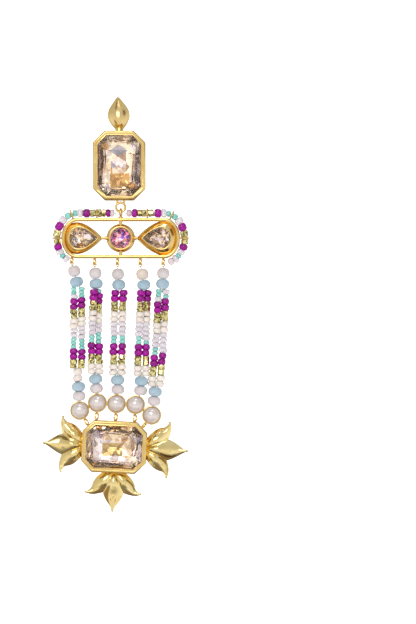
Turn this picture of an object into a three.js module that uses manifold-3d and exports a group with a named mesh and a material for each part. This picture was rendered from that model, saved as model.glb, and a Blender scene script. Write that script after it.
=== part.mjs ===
// Chandelier drop earring: a gold-plated bud and octagon setting that hang a racetrack frame of three stones,
// five double strands of beads, and a lower octagon medallion with pearls and three-petalled flowers.
// Millimetres, +Z up. The front faces -Y. The origin is where the ear post leaves the back of the bud.
import * as THREE from "three";
import { mergeVertices } from "three/addons/utils/BufferGeometryUtils.js";
import Module from "manifold-3d";

const wasm = await Module();
wasm.setup();

// Clearances: a stone in its setting, a bead on its thread, one bead against the next, ring in ring.
const STONE_GAP = 0.12;
const DRILL_GAP = 0.25;
const BEAD_GAP = 0.12;
const LINK_GAP = 0.16;
// How far soldered pieces sink into each other.
const SOLDER = 0.12;

// The bud and the post behind it.
const BUD_WIDTH = 6.2;
const BUD_ABOVE = 5.2;
const BUD_BELOW = 4.05;
const BUD_DEPTH = 3.0;
const BUD_LEAN = -3;
const NECK_HEIGHT = 0.75;
const NECK_WIDTH = 2.0;
const NECK_FORWARD = 1.05;
const POST_RADIUS = 0.45;
const POST_LENGTH = 11;
const POST_PAD_RADIUS = 1.5;
const POST_PAD_THICKNESS = 0.4;
const POST_TIP_RADIUS = 0.27;
const POST_TIP_LENGTH = 0.4;
const POST_GROOVE_AT = 8.58;
const POST_GROOVE_LENGTH = 0.5;

// The two octagon stones and their box settings.
const UPPER_STONE_WIDTH = 12.95;
const UPPER_STONE_HEIGHT = 17.8;
const UPPER_STONE_CUT = 2.75;
const LOWER_STONE_WIDTH = 16.45;
const LOWER_STONE_HEIGHT = 12.75;
const LOWER_STONE_CUT = 2.5;
const SETTING_WALL = 0.92;
const SETTING_DEPTH = 4.4;
const SETTING_FLOOR = 0.6;
const SETTING_BEVEL = 0.35;
const LIP_OVERLAP = 0.12;
const LIP_HEIGHT = 0.42;
const CROWN_HEIGHT = 1.5;
const GIRDLE_HEIGHT = 0.4;

// The two interlocked rings that the drop swings on. The ring is soldered a little right of the middle.
const HANGING_RING = { radius: 1.3, wire: 0.3, sides: 14, section: 6 };
const FRAME_LOOP = { radius: 0.98, wire: 0.3, sides: 14, section: 6 };
const RING_STANDOFF = 0.28;
const RING_LEG_ACROSS = 0.975;
const RING_LEG_RISE = 0.91;
const FRAME_NECK = 0.27;
const FRAME_NECK_RADIUS = 0.39;
const DROP_SHIFT = 0.4;

// The racetrack frame, its pear and round stones and their sloped collars.
const RIM_WIDTH = 33.5;
const RIM_HEIGHT = 11.5;
const RIM_END = 4.6;
const RIM_WALL = 0.9;
const RIM_DEPTH = 2.0;
const RIM_BEVEL = 0.25;
const PEAR_LENGTH = 8.0;
const PEAR_WIDTH = 6.0;
const LEFT_PEAR_COLLAR = 1.5;
const RIGHT_PEAR_COLLAR = 1.85;
const ROUND_RADIUS = 3.0;
const ROUND_COLLAR = 1.05;
const COLLAR_DEPTH = 2.5;
const SMALL_CROWN = 0.7;
const PEAR_TABLE_INSET = 1.2;
const ROUND_TABLE_INSET = 1.3;
const CONNECTOR_RADIUS = 0.45;

// Beads strung round the frame: the string's distance from the rim, and the loops that carry it.
const EDGE_RADIUS = 0.88;
const EDGE_OFFSET = 1.06;
const EDGE_LOOP_ROOM = 1.5;
const EDGE_END = 0.3;
const THREAD_RADIUS = 0.16;
const CARRIER = { radius: 0.85, wire: 0.24, sides: 10, section: 5 };
const EDGE_LEFT_END = 245;
const EDGE_RIGHT_END = -79;

// Eyelets under the rim, one for each strand, turned almost edge-on.
const STRANDS = 5;
const EYELET_PITCH = 6.45;
const EYELET_SHIFT = -0.9;
const EYELET = { radius: 0.75, wire: 0.25, sides: 10, section: 5 };
const EYELET_TURN = 65;

// Where the string passes a loop: its angle on an end of the racetrack, or its place along the top.
const CARRIERS = [
  { angle: 180 },
  { angle: 107 },
  { angle: 90, across: -6.7 },
  { angle: 90, across: 7.5 },
  { angle: 67 },
  { angle: 0 },
];

// The strands: four drilled beads and two strings of seed beads each.
const TOP_BEAD = { radius: 1.65, height: 2.95 };
const TOP_RONDELLE = { radius: 1.8, height: 2.75 };
const LOW_RONDELLE = { radius: 1.75, height: 2.6 };
const LOW_BEAD = { radius: 1.75, height: 2.4 };
const STRING_RADIUS = 0.95;
const STRING_PITCH = 2.1;
const STRING_STEPS = 6;
const STRAND_LOOP = { radius: 0.55, wire: 0.15, sides: 10, section: 5 };
const LOOP_PLAY = 0.12;
const SEAT_GAP = 0.15;
// Where a thread ends inside its pearl: how far up, and how much of the seat's offset is left there.
const THREAD_END_RISE = 0.83;
const THREAD_END_ASIDE = 0.4;
// The hole for it, cut from outside the cup to below the thread's end.
const HOLE_START = { rise: 3.51, aside: 1.3 };
const HOLE_END = { rise: 0.36, aside: 0.3 };
// How each strand lies: how far its first bead hangs below the eyelet, how far to the right of a straight
// line it runs at its first bead, below its upper beads and above its lower beads, and its bow between these.
// The seat is how far to the right of the pearl's middle its last bead sits.
const STRAND_LAY = [
  { hang: 0.6, first: 0.35, upper: 1.3, lower: 0.0, bow: 0.05, seat: -0.3 },
  { hang: 0.8, first: 0.1, upper: 0.4, lower: -0.35, bow: -0.15, seat: -0.3 },
  { hang: 1.05, first: 0.0, upper: 0.45, lower: -0.15, bow: -0.05, seat: 0.3 },
  { hang: 1.1, first: 0.35, upper: 1.15, lower: 0.4, bow: -0.15, seat: 1.2 },
  { hang: 0.85, first: 0.15, upper: 0.2, lower: 0.25, bow: 0.2, seat: 0.4 },
];

// The medallion: where it hangs below the frame, how it leans, and its pearls in their cups.
const MEDALLION_DROP = 58.85;
const MEDALLION_DRIFT = -1.8;
const MEDALLION_TILT = 2.8;
const PEARL_RADIUS = 2.38;
const CUP_WALL = 0.2;
const CUP_PITCH = 5.38;
const CUP_RISE = 12.2;
const CUP_FALL_LEFT = 2.4;
const CUP_FALL_RIGHT = 2.75;
const CUP_SPREAD_LEFT = 4.85;
const CUP_SPREAD_RIGHT = 4.7;
const CUP_LIP = 0.3;
const STEM = { wire: 0.27, sides: 10, section: 5 };
const SOLDER_BALL = 0.38;
const SOLDER_BALL_BACK = 0.8;

// The flowers: a straight middle petal and a curved one on each side.
const FLOWER_LENGTH = 11.1;
const FLOWER_HALF_WIDTH = 3.15;
const FLOWER_HEIGHT = 2.7;
const FLOWER_BACK = 0.75;
const SIDE_ALONG = 5.9;
const SIDE_ACROSS = 8.0;
const SIDE_HALF_WIDTH = 1.75;
const SIDE_HEIGHT = 2.1;
// Where each flower sits on the setting's edge, how far it is moved along it, its direction and its reach.
const FLOWERS = [
  { side: -1, base: 0, shift: 0.15, direction: 180, reach: 1.0 },
  { side: 1, base: 0, shift: 0, direction: -1, reach: 1.06 },
  { side: 0, base: -1, shift: 0.3, direction: -90, reach: 1.0 },
];

// Sides of the round pieces.
const BEAD_SIDES = 10;
const ROUND_SIDES = 16;
const PEARL_SIDES = 12;
const ROD_SIDES = 6;
const BALL_RINGS = 4;
const TUBE_SIDES = 8;
const THREAD_SIDES = 5;

// Petal cross-sections from base to tip: shares of the length, half-width and height, and lift in heights.
const BUD_SECTIONS = [
  { along: 0.0, wide: 0.38, high: 0.55 },
  { along: 0.12, wide: 0.65, high: 0.82 },
  { along: 0.25, wide: 0.88, high: 0.98 },
  { along: 0.38, wide: 1.0, high: 1.0 },
  { along: 0.52, wide: 0.98, high: 0.92 },
  { along: 0.65, wide: 0.83, high: 0.76 },
  { along: 0.78, wide: 0.57, high: 0.54 },
  { along: 0.9, wide: 0.25, high: 0.32 },
  { along: 1.0, wide: 0.03, high: 0.16 },
];
const MIDDLE_PETAL = [
  { along: 0.0, wide: 0.3, high: 0.4, lift: 0.0 },
  { along: 0.12, wide: 0.56, high: 0.8, lift: 0.0 },
  { along: 0.28, wide: 0.86, high: 1.0, lift: 0.0 },
  { along: 0.47, wide: 1.0, high: 0.9, lift: 0.0 },
  { along: 0.63, wide: 0.8, high: 0.62, lift: 0.02 },
  { along: 0.78, wide: 0.48, high: 0.36, lift: 0.08 },
  { along: 0.9, wide: 0.19, high: 0.2, lift: 0.18 },
  { along: 1.0, wide: 0.03, high: 0.08, lift: 0.32 },
];
// The side petal also strays across: its row holds shares of its reach along and across.
const SIDE_PETAL = [
  { along: 0.0, across: 0.04, wide: 0.45, high: 0.45, lift: 0.0 },
  { along: 0.2, across: 0.18, wide: 0.8, high: 0.9, lift: 0.0 },
  { along: 0.48, across: 0.36, wide: 1.0, high: 1.0, lift: 0.0 },
  { along: 0.72, across: 0.54, wide: 0.95, high: 0.7, lift: 0.03 },
  { along: 0.88, across: 0.71, wide: 0.66, high: 0.42, lift: 0.12 },
  { along: 0.97, across: 0.87, wide: 0.3, high: 0.26, lift: 0.28 },
  { along: 1.0, across: 1.0, wide: 0.04, high: 0.1, lift: 0.45 },
];
// A petal's cross-section: across as a share of its half-width, and forward as a share of its height.
const PETAL_RING = [
  { across: -1.0, forward: 0.14 },
  { across: -0.62, forward: 0.72 },
  { across: 0.0, forward: 1.0 },
  { across: 0.62, forward: 0.72 },
  { across: 1.0, forward: 0.14 },
  { across: 0.6, forward: 0.0 },
  { across: -0.6, forward: 0.0 },
];

// Places worked out from the sizes above.
const degrees = Math.PI / 180;
const MID_Y = -SETTING_DEPTH / 2;
const UPPER_TOP = -BUD_BELOW - NECK_HEIGHT + 2 * SOLDER;
const UPPER_OUTER_HEIGHT = UPPER_STONE_HEIGHT + 2 * SETTING_WALL;
const UPPER_CENTRE = UPPER_TOP - UPPER_OUTER_HEIGHT / 2;
const UPPER_BOTTOM = UPPER_TOP - UPPER_OUTER_HEIGHT;
const RING_OUTSIDE = HANGING_RING.radius + HANGING_RING.wire;
const RING_CENTRE = UPPER_BOTTOM - RING_STANDOFF - RING_OUTSIDE;
const PIVOT_Z = RING_CENTRE - HANGING_RING.radius;
const LOOP_CENTRE = PIVOT_Z + HANGING_RING.wire + LINK_GAP + FRAME_LOOP.wire - FRAME_LOOP.radius;
const LOOP_FOOT = LOOP_CENTRE - FRAME_LOOP.radius - FRAME_LOOP.wire + SOLDER;
const RIM_TOP = LOOP_FOOT - FRAME_NECK;
const FRAME_CENTRE = RIM_TOP - RIM_HEIGHT / 2;
const MEDALLION_CENTRE = FRAME_CENTRE - MEDALLION_DROP;
const CUP_RADIUS = PEARL_RADIUS + STONE_GAP + CUP_WALL;
const BEAD_HOLE = THREAD_RADIUS + DRILL_GAP;
const CUP_HOLE = BEAD_HOLE + 0.1;

// Joins and cuts of closed geometries.
function solidOf(geometry) {
  const bare = geometry.clone();
  bare.deleteAttribute("normal");
  bare.deleteAttribute("uv");
  const merged = mergeVertices(bare, 1e-4);
  return new wasm.Manifold(
    new wasm.Mesh({
      numProp: 3,
      vertProperties: merged.attributes.position.array,
      triVerts: new Uint32Array(merged.index.array),
    }),
  );
}

function geometryOf(solid) {
  const mesh = solid.getMesh();
  const geometry = new THREE.BufferGeometry();
  geometry.setAttribute("position", new THREE.BufferAttribute(mesh.vertProperties, 3));
  geometry.setIndex(new THREE.BufferAttribute(mesh.triVerts, 1));
  return geometry;
}

function fuse(geometries, cuts = []) {
  const joined = geometries.map(solidOf).reduce((whole, piece) => whole.add(piece));
  return geometryOf(cuts.map(solidOf).reduce((whole, piece) => whole.subtract(piece), joined));
}

// Outlines in the XZ plane: each gives its points when grown outwards by a distance.
const CUT_GROWTH = 2 - Math.SQRT2;
const LEAST_CUT = 0.15;
function octagon(width, height, cut) {
  return (grow) => {
    const a = width / 2 + grow;
    const b = height / 2 + grow;
    const c = Math.max(cut + grow * CUT_GROWTH, LEAST_CUT);
    return [
      [a, b - c], [a - c, b], [c - a, b], [-a, b - c],
      [-a, c - b], [c - a, -b], [a - c, -b], [a, c - b],
    ].map(([x, z]) => new THREE.Vector2(x, z));
  };
}

function circle(radius, sides) {
  return (grow) =>
    Array.from({ length: sides }, (_, i) => {
      const angle = (i / sides) * 2 * Math.PI;
      return new THREE.Vector2(Math.cos(angle), Math.sin(angle)).multiplyScalar(radius + grow);
    });
}

// A teardrop whose point looks along +X, or along -X when turned.
const PEAR_FULLNESS = 0.7698;
function pear(length, width, sides, turned) {
  return (grow) =>
    Array.from({ length: sides }, (_, i) => {
      const angle = (i / sides) * 2 * Math.PI;
      const x = (length / 2 + grow) * Math.cos(angle);
      const z = ((width / 2 + grow) / PEAR_FULLNESS) * Math.sin(angle) * Math.sin(angle / 2);
      return turned ? new THREE.Vector2(-x, -z) : new THREE.Vector2(x, z);
    });
}

// The racetrack: straight top and bottom, and ends that are half ellipses.
const RIM_END_STEPS = 10;
function racetrack(grow) {
  const straight = RIM_WIDTH / 2 - RIM_END;
  const points = [];
  for (const side of [1, -1]) {
    for (let i = 0; i <= RIM_END_STEPS; i += 1) {
      const angle = side * (i / RIM_END_STEPS - 0.5) * Math.PI;
      const x = side * (straight + (RIM_END + grow) * Math.cos(angle));
      points.push(new THREE.Vector2(x, (RIM_HEIGHT / 2 + grow) * Math.sin(angle)));
    }
  }
  return points;
}

// Lofts. A level is how far its outline grows and its depth y.
function levelPoints(outline, level, centre) {
  return outline(level.grow).map((p) => new THREE.Vector3(centre.x + p.x, level.y, centre.z + p.y));
}

function geometryFrom(points, faces) {
  const geometry = new THREE.BufferGeometry().setFromPoints(points);
  geometry.setIndex(faces.flat());
  return geometry;
}

function bands(rings, closed) {
  const count = rings[0].length;
  const faces = [];
  const last = closed ? rings.length : rings.length - 1;
  for (let r = 0; r < last; r += 1) {
    const here = r * count;
    const next = ((r + 1) % rings.length) * count;
    for (let i = 0; i < count; i += 1) {
      const j = (i + 1) % count;
      faces.push([here + i, next + i, next + j], [here + i, next + j, here + j]);
    }
  }
  return faces;
}

// A closed body through rings of points, with a flat cap at each end.
function loft(rings) {
  const count = rings[0].length;
  const start = (rings.length - 1) * count;
  const faces = bands(rings, false);
  for (let i = 1; i < count - 1; i += 1) {
    faces.push([0, i, i + 1], [start, start + i + 1, start + i]);
  }
  const geometry = geometryFrom(rings.flat(), faces);
  return solidVolume(geometry) < 0 ? reversed(geometry) : geometry;
}

// A closed band round an outline, such as a rim, with the section that its levels draw.
function band(outline, levels, centre) {
  const rings = levels.map((level) => levelPoints(outline, level, centre));
  const geometry = geometryFrom(rings.flat(), bands(rings, true));
  return solidVolume(geometry) < 0 ? reversed(geometry) : geometry;
}

function stack(outline, levels, centre) {
  return loft(levels.map((level) => levelPoints(outline, level, centre)));
}

function solidVolume(geometry) {
  const at = geometry.attributes.position;
  const index = geometry.index.array;
  const [a, b, c] = [new THREE.Vector3(), new THREE.Vector3(), new THREE.Vector3()];
  let volume = 0;
  for (let i = 0; i < index.length; i += 3) {
    a.fromBufferAttribute(at, index[i]);
    b.fromBufferAttribute(at, index[i + 1]);
    c.fromBufferAttribute(at, index[i + 2]);
    volume += a.dot(b.cross(c)) / 6;
  }
  return volume;
}

function reversed(geometry) {
  const index = geometry.index.array;
  const turned = Array.from(index);
  for (let i = 0; i < turned.length; i += 3) {
    [turned[i + 1], turned[i + 2]] = [turned[i + 2], turned[i + 1]];
  }
  return geometry.clone().setIndex(turned);
}

// A wire ring. Its plane holds the vertical, and turn is its angle from facing the viewer.
function wireRing(ring, centre, turn, lean = 0) {
  const geometry = new THREE.TorusGeometry(ring.radius, ring.wire, ring.section, ring.sides);
  return geometry.applyMatrix4(facing(turn, lean)).translate(centre.x, centre.y, centre.z);
}

// From the ring's own plane, upright and facing the viewer, to one turned about the vertical and leant.
function facing(turn, lean) {
  const upright = new THREE.Matrix4().makeRotationX(90 * degrees);
  const turned = new THREE.Matrix4().makeRotationZ(turn * degrees);
  const leant = new THREE.Matrix4().makeRotationY(lean * degrees);
  return leant.multiply(turned).multiply(upright);
}

function rod(from, to, radius, sides = ROD_SIDES) {
  const along = new THREE.Vector3().subVectors(to, from);
  const geometry = new THREE.CylinderGeometry(radius, radius, along.length(), sides, 1);
  const turn = new THREE.Quaternion().setFromUnitVectors(
    new THREE.Vector3(0, 1, 0),
    along.clone().normalize(),
  );
  const middle = from.clone().lerp(to, 0.5);
  return geometry.applyQuaternion(turn).translate(middle.x, middle.y, middle.z);
}

function ball(radius, centre) {
  return new THREE.SphereGeometry(radius, ROD_SIDES, BALL_RINGS).translate(centre.x, centre.y, centre.z);
}

// A tube of beads along a curve.
function tube(curve, radius, sides, steps) {
  const section = new THREE.Shape(circle(radius, sides)(0));
  return new THREE.ExtrudeGeometry(section, { steps, extrudePath: curve, bevelEnabled: false });
}

// A petal or bud: sections placed along a path, each with a flat back and a domed, ridged front.
// place(along, across, forward) gives a point from distances measured from the petal's root.
function petal(rows, sizes, place) {
  const middles = rows.map((row) => ({
    along: row.along * sizes.length,
    across: (row.across ?? 0) * (sizes.reach ?? 0),
  }));
  const rings = rows.map((row, i) => {
    const before = middles[Math.max(i - 1, 0)];
    const after = middles[Math.min(i + 1, rows.length - 1)];
    const way = new THREE.Vector2(after.along - before.along, after.across - before.across).normalize();
    const half = row.wide * sizes.halfWidth;
    const high = row.high * sizes.height;
    const lift = (row.lift ?? 0) * sizes.height;
    return PETAL_RING.map((p) =>
      place(
        middles[i].along - way.y * p.across * half,
        middles[i].across + way.x * p.across * half,
        lift + p.forward * high,
      ),
    );
  });
  return loft(rings);
}

// A box setting: a closed cup whose lip holds the stone's edge, and the stone cut to fit it.
const PAVILION_BREAK = 0.45;
const PAVILION_SHOULDER = 0.6;
const PAVILION_SLOPE = 1.45;
// How far a hollow is cut past the front.
const CUT_PAST = 1;
function boxSetting(stone, centre, backY) {
  const front = backY - SETTING_DEPTH;
  const lipY = front + LIP_HEIGHT;
  const wall = SETTING_WALL;
  const girdleBack = stoneGirdleBack(backY);
  const outer = stack(stone, [
    { grow: wall - SETTING_BEVEL, y: backY },
    { grow: wall, y: backY - SETTING_BEVEL },
    { grow: wall, y: front + SETTING_BEVEL },
    { grow: wall - SETTING_BEVEL, y: front },
  ], centre);
  const inset = pavilionInset(backY);
  const depth = pavilionDepth(backY);
  const hollow = stack(stone, [
    { grow: STONE_GAP - inset, y: backY - SETTING_FLOOR },
    { grow: STONE_GAP - inset * PAVILION_BREAK, y: girdleBack + depth * PAVILION_SHOULDER + STONE_GAP },
    { grow: STONE_GAP, y: girdleBack + STONE_GAP },
    { grow: STONE_GAP, y: lipY },
    { grow: -LIP_OVERLAP, y: lipY - LIP_OVERLAP },
    { grow: -LIP_OVERLAP, y: front - CUT_PAST },
  ], centre);
  return { outer, hollow };
}

function stoneGirdleBack(backY) {
  return backY - SETTING_DEPTH + LIP_HEIGHT + STONE_GAP + GIRDLE_HEIGHT;
}

function pavilionDepth(backY) {
  return backY - SETTING_FLOOR - STONE_GAP - stoneGirdleBack(backY);
}

function pavilionInset(backY) {
  return pavilionDepth(backY) * PAVILION_SLOPE;
}

const TABLE_INSET = 2.35;
const CROWN_BREAK = 0.62;
const CROWN_BREAK_INSET = 0.45;
function boxStone(stone, centre, backY) {
  const back = stoneGirdleBack(backY);
  const front = back - GIRDLE_HEIGHT;
  const depth = pavilionDepth(backY);
  const inset = pavilionInset(backY);
  return stack(stone, [
    { grow: -inset, y: back + depth },
    { grow: -inset * PAVILION_BREAK, y: back + depth * PAVILION_SHOULDER },
    { grow: 0, y: back },
    { grow: 0, y: front },
    { grow: -TABLE_INSET * CROWN_BREAK_INSET, y: front - CROWN_HEIGHT * CROWN_BREAK },
    { grow: -TABLE_INSET, y: front - CROWN_HEIGHT },
  ], centre);
}

// A sloped collar setting in the frame, and its stone.
const COLLAR_BACK = MID_Y + COLLAR_DEPTH / 2;
const COLLAR_EDGE = 0.75;
const COLLAR_LIP = 0.35;
const COLLAR_BEVEL = 0.2;
const COLLAR_LIP_ROUND = 0.1;
const COLLAR_LIP_FALL = 0.15;
const SMALL_GIRDLE = 0.15;
const SMALL_PAVILION = 1.35;
const SMALL_POINT = 0.72;

function collarSetting(stone, collar, centre) {
  const front = COLLAR_BACK - COLLAR_DEPTH;
  const outer = stack(stone, [
    { grow: collar - COLLAR_BEVEL, y: COLLAR_BACK },
    { grow: collar, y: COLLAR_BACK - COLLAR_BEVEL },
    { grow: collar, y: COLLAR_BACK - COLLAR_EDGE },
    { grow: COLLAR_LIP + COLLAR_LIP_ROUND, y: front + COLLAR_LIP_FALL },
    { grow: COLLAR_LIP - COLLAR_LIP_ROUND, y: front },
  ], centre);
  const girdle = front + LIP_HEIGHT;
  const hollow = stack(stone, [
    { grow: -SMALL_PAVILION * SMALL_POINT, y: girdle + SMALL_GIRDLE + SMALL_PAVILION + STONE_GAP },
    { grow: STONE_GAP, y: girdle + SMALL_GIRDLE + STONE_GAP },
    { grow: STONE_GAP, y: girdle - STONE_GAP / 2 },
    { grow: -LIP_OVERLAP, y: girdle - STONE_GAP - LIP_OVERLAP },
    { grow: -LIP_OVERLAP, y: front - CUT_PAST },
  ], centre);
  return { outer, hollow };
}

function collarStone(stone, tableInset, centre) {
  const girdle = COLLAR_BACK - COLLAR_DEPTH + LIP_HEIGHT;
  return stack(stone, [
    { grow: -SMALL_PAVILION * SMALL_POINT - STONE_GAP, y: girdle + SMALL_GIRDLE + SMALL_PAVILION },
    { grow: 0, y: girdle + SMALL_GIRDLE },
    { grow: 0, y: girdle },
    { grow: -tableInset, y: girdle - SMALL_CROWN },
  ], centre);
}

// Materials of the real pieces.
const gold = new THREE.MeshStandardMaterial({ color: 0xd9b24a, metalness: 1, roughness: 0.25 });
const postGold = new THREE.MeshStandardMaterial({ color: 0xd8c070, metalness: 1, roughness: 0.3 });
const champagne = new THREE.MeshStandardMaterial({ color: 0xdcc3a4, metalness: 0, roughness: 0.05 });
const pink = new THREE.MeshStandardMaterial({ color: 0xd680b4, metalness: 0, roughness: 0.05 });
const pearl = new THREE.MeshStandardMaterial({ color: 0xeae0dc, metalness: 0, roughness: 0.25 });
const milky = new THREE.MeshStandardMaterial({ color: 0xe6dcd9, metalness: 0, roughness: 0.6 });
const blue = new THREE.MeshStandardMaterial({ color: 0xb3cedb, metalness: 0, roughness: 0.45 });
const seeds = new THREE.MeshStandardMaterial({ color: 0xcaa6c0, metalness: 0, roughness: 0.3 });

function piece(name, geometry, material) {
  const mesh = new THREE.Mesh(geometry, material);
  mesh.name = name;
  return mesh;
}

const at = (x, z) => new THREE.Vector3(x, MID_Y, z);

// The stud: bud, neck, octagon setting and hanging ring, soldered into one.
function upperSetting() {
  const height = BUD_ABOVE + BUD_BELOW;
  const bud = petal(
    BUD_SECTIONS,
    { length: height, halfWidth: BUD_WIDTH / 2, height: BUD_DEPTH },
    (along, across, forward) => new THREE.Vector3(across, -forward, along - BUD_BELOW),
  );
  bud.translate(0, 0, BUD_BELOW).rotateY(BUD_LEAN * degrees).translate(0, 0, -BUD_BELOW);
  const neckTop = new THREE.Vector3(0, -NECK_FORWARD, -BUD_BELOW + 2 * SOLDER);
  const neckFoot = new THREE.Vector3(0, -NECK_FORWARD, UPPER_TOP - SOLDER);
  const neck = rod(neckTop, neckFoot, NECK_WIDTH / 2, BEAD_SIDES);
  const cup = boxSetting(upperOutline, new THREE.Vector3(0, 0, UPPER_CENTRE), 0);
  const ring = wireRing(HANGING_RING, at(DROP_SHIFT, RING_CENTRE), 0);
  const legs = [-1, 1].map((side) => {
    const x = DROP_SHIFT + side * RING_LEG_ACROSS;
    const foot = RING_CENTRE + RING_LEG_RISE;
    return rod(at(x, UPPER_BOTTOM + SOLDER), at(x, foot), HANGING_RING.wire);
  });
  return fuse([bud, neck, cup.outer, ring, ...legs], [cup.hollow]);
}

function earPost() {
  const grooveMiddle = POST_GROOVE_AT + POST_GROOVE_LENGTH / 2;
  const grooveEnd = POST_GROOVE_AT + POST_GROOVE_LENGTH;
  const profile = [
    [0, 0], [POST_PAD_RADIUS, 0], [POST_PAD_RADIUS, POST_PAD_THICKNESS], [POST_RADIUS, POST_PAD_THICKNESS],
    [POST_RADIUS, POST_GROOVE_AT], [POST_TIP_RADIUS, grooveMiddle], [POST_RADIUS, grooveEnd],
    [POST_RADIUS, POST_LENGTH - POST_TIP_LENGTH], [POST_TIP_RADIUS, POST_LENGTH], [0, POST_LENGTH],
  ].map(([r, y]) => new THREE.Vector2(r, y));
  return new THREE.LatheGeometry(profile, TUBE_SIDES);
}

const upperOutline = octagon(UPPER_STONE_WIDTH, UPPER_STONE_HEIGHT, UPPER_STONE_CUT);
const lowerOutline = octagon(LOWER_STONE_WIDTH, LOWER_STONE_HEIGHT, LOWER_STONE_CUT);
const frameMiddle = new THREE.Vector3(0, 0, FRAME_CENTRE);
const PEAR_REACH = RIM_WIDTH / 2 - RIM_WALL + SOLDER - PEAR_LENGTH / 2;
const PEARS = [
  { side: -1, collar: LEFT_PEAR_COLLAR },
  { side: 1, collar: RIGHT_PEAR_COLLAR },
].map((p) => ({ ...p, x: p.side * (PEAR_REACH - p.collar) }));
const leftPear = pear(PEAR_LENGTH, PEAR_WIDTH, ROUND_SIDES, false);
const rightPear = pear(PEAR_LENGTH, PEAR_WIDTH, ROUND_SIDES, true);
const roundStone = circle(ROUND_RADIUS, ROUND_SIDES);
const leftCentre = new THREE.Vector3(PEARS[0].x, 0, FRAME_CENTRE);
const rightCentre = new THREE.Vector3(PEARS[1].x, 0, FRAME_CENTRE);

// A point of the bead string round the frame, and the way that the string runs there.
function edgePoint(angle, across) {
  if (across !== undefined) return new THREE.Vector3(across, MID_Y, RIM_TOP + EDGE_OFFSET);
  const side = Math.cos(angle * degrees) < 0 ? -1 : 1;
  const x = side * (RIM_WIDTH / 2 - RIM_END) + (RIM_END + EDGE_OFFSET) * Math.cos(angle * degrees);
  const z = FRAME_CENTRE + (RIM_HEIGHT / 2 + EDGE_OFFSET) * Math.sin(angle * degrees);
  return new THREE.Vector3(x, MID_Y, z);
}

// The upright of a loop points away from the rim. Its plane is square to the string.
function carrierLoop(carrier) {
  const on = edgePoint(carrier.angle, carrier.across);
  const away = new THREE.Vector2(Math.cos(carrier.angle * degrees), Math.sin(carrier.angle * degrees));
  if (carrier.across === undefined) {
    away.set(
      Math.cos(carrier.angle * degrees) / (RIM_END + EDGE_OFFSET),
      Math.sin(carrier.angle * degrees) / (RIM_HEIGHT / 2 + EDGE_OFFSET),
    );
  }
  away.normalize();
  const sink = EDGE_OFFSET - (CARRIER.radius + CARRIER.wire - SOLDER);
  const centre = new THREE.Vector3(on.x - away.x * sink, MID_Y, on.z - away.y * sink);
  const lean = Math.atan2(away.x, away.y) / degrees;
  return wireRing(CARRIER, centre, 90, lean);
}

// Height of the rim's lower edge at a place across.
function rimBottom(x) {
  const beyond = Math.max(Math.abs(x) - (RIM_WIDTH / 2 - RIM_END), 0) / RIM_END;
  return FRAME_CENTRE - (RIM_HEIGHT / 2) * Math.sqrt(1 - Math.min(beyond, 1) ** 2);
}

const eyeletX = (i) => EYELET_SHIFT + (i - (STRANDS - 1) / 2) * EYELET_PITCH;
const eyeletZ = (i) => rimBottom(eyeletX(i)) - EYELET.radius - EYELET.wire + SOLDER;

function frame() {
  const half = RIM_DEPTH / 2;
  const rim = band(racetrack, [
    { grow: 0, y: MID_Y + half - RIM_BEVEL },
    { grow: 0, y: MID_Y - half + RIM_BEVEL },
    { grow: -RIM_BEVEL, y: MID_Y - half },
    { grow: RIM_BEVEL - RIM_WALL, y: MID_Y - half },
    { grow: -RIM_WALL, y: MID_Y - half + RIM_BEVEL },
    { grow: -RIM_WALL, y: MID_Y + half - RIM_BEVEL },
    { grow: RIM_BEVEL - RIM_WALL, y: MID_Y + half },
    { grow: -RIM_BEVEL, y: MID_Y + half },
  ], frameMiddle);
  const settings = [
    collarSetting(leftPear, LEFT_PEAR_COLLAR, leftCentre),
    collarSetting(rightPear, RIGHT_PEAR_COLLAR, rightCentre),
    collarSetting(roundStone, ROUND_COLLAR, frameMiddle),
  ];
  const roundEdge = ROUND_RADIUS + ROUND_COLLAR;
  const tipBars = PEARS.map((p) => {
    const pearTip = p.x - p.side * (PEAR_LENGTH / 2 + p.collar - 4 * SOLDER);
    const start = at(p.side * (roundEdge - 2 * SOLDER), FRAME_CENTRE);
    return rod(start, at(pearTip, FRAME_CENTRE), CONNECTOR_RADIUS);
  });
  const posts = [-1, 1].map((side) =>
    rod(
      at(0, FRAME_CENTRE + side * (roundEdge - 2 * SOLDER)),
      at(0, FRAME_CENTRE + side * (RIM_HEIGHT / 2 - RIM_WALL + SOLDER)),
      CONNECTOR_RADIUS,
    ),
  );
  const loop = wireRing(FRAME_LOOP, at(0, LOOP_CENTRE), 90);
  const neck = rod(at(0, LOOP_FOOT), at(0, RIM_TOP - SOLDER), FRAME_NECK_RADIUS);
  const eyelets = Array.from({ length: STRANDS }, (_, i) =>
    wireRing(EYELET, at(eyeletX(i), eyeletZ(i)), EYELET_TURN),
  );
  return fuse(
    [
      rim,
      ...settings.map((s) => s.outer),
      ...tipBars,
      ...posts,
      loop,
      neck,
      ...CARRIERS.map(carrierLoop),
      ...eyelets,
    ],
    settings.map((s) => s.hollow),
  );
}

// The string round the frame: a thread through every loop, and a tube of beads between them.
const EDGE_STEPS = 4;
const THREAD_STEPS = 32;
const LEFT_STATIONS = 14;
const RIGHT_STATIONS = 16;
const TOP_STATIONS = [-0.75, -0.5, -0.25, 0, 0.25, 0.5, 0.75];
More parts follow.
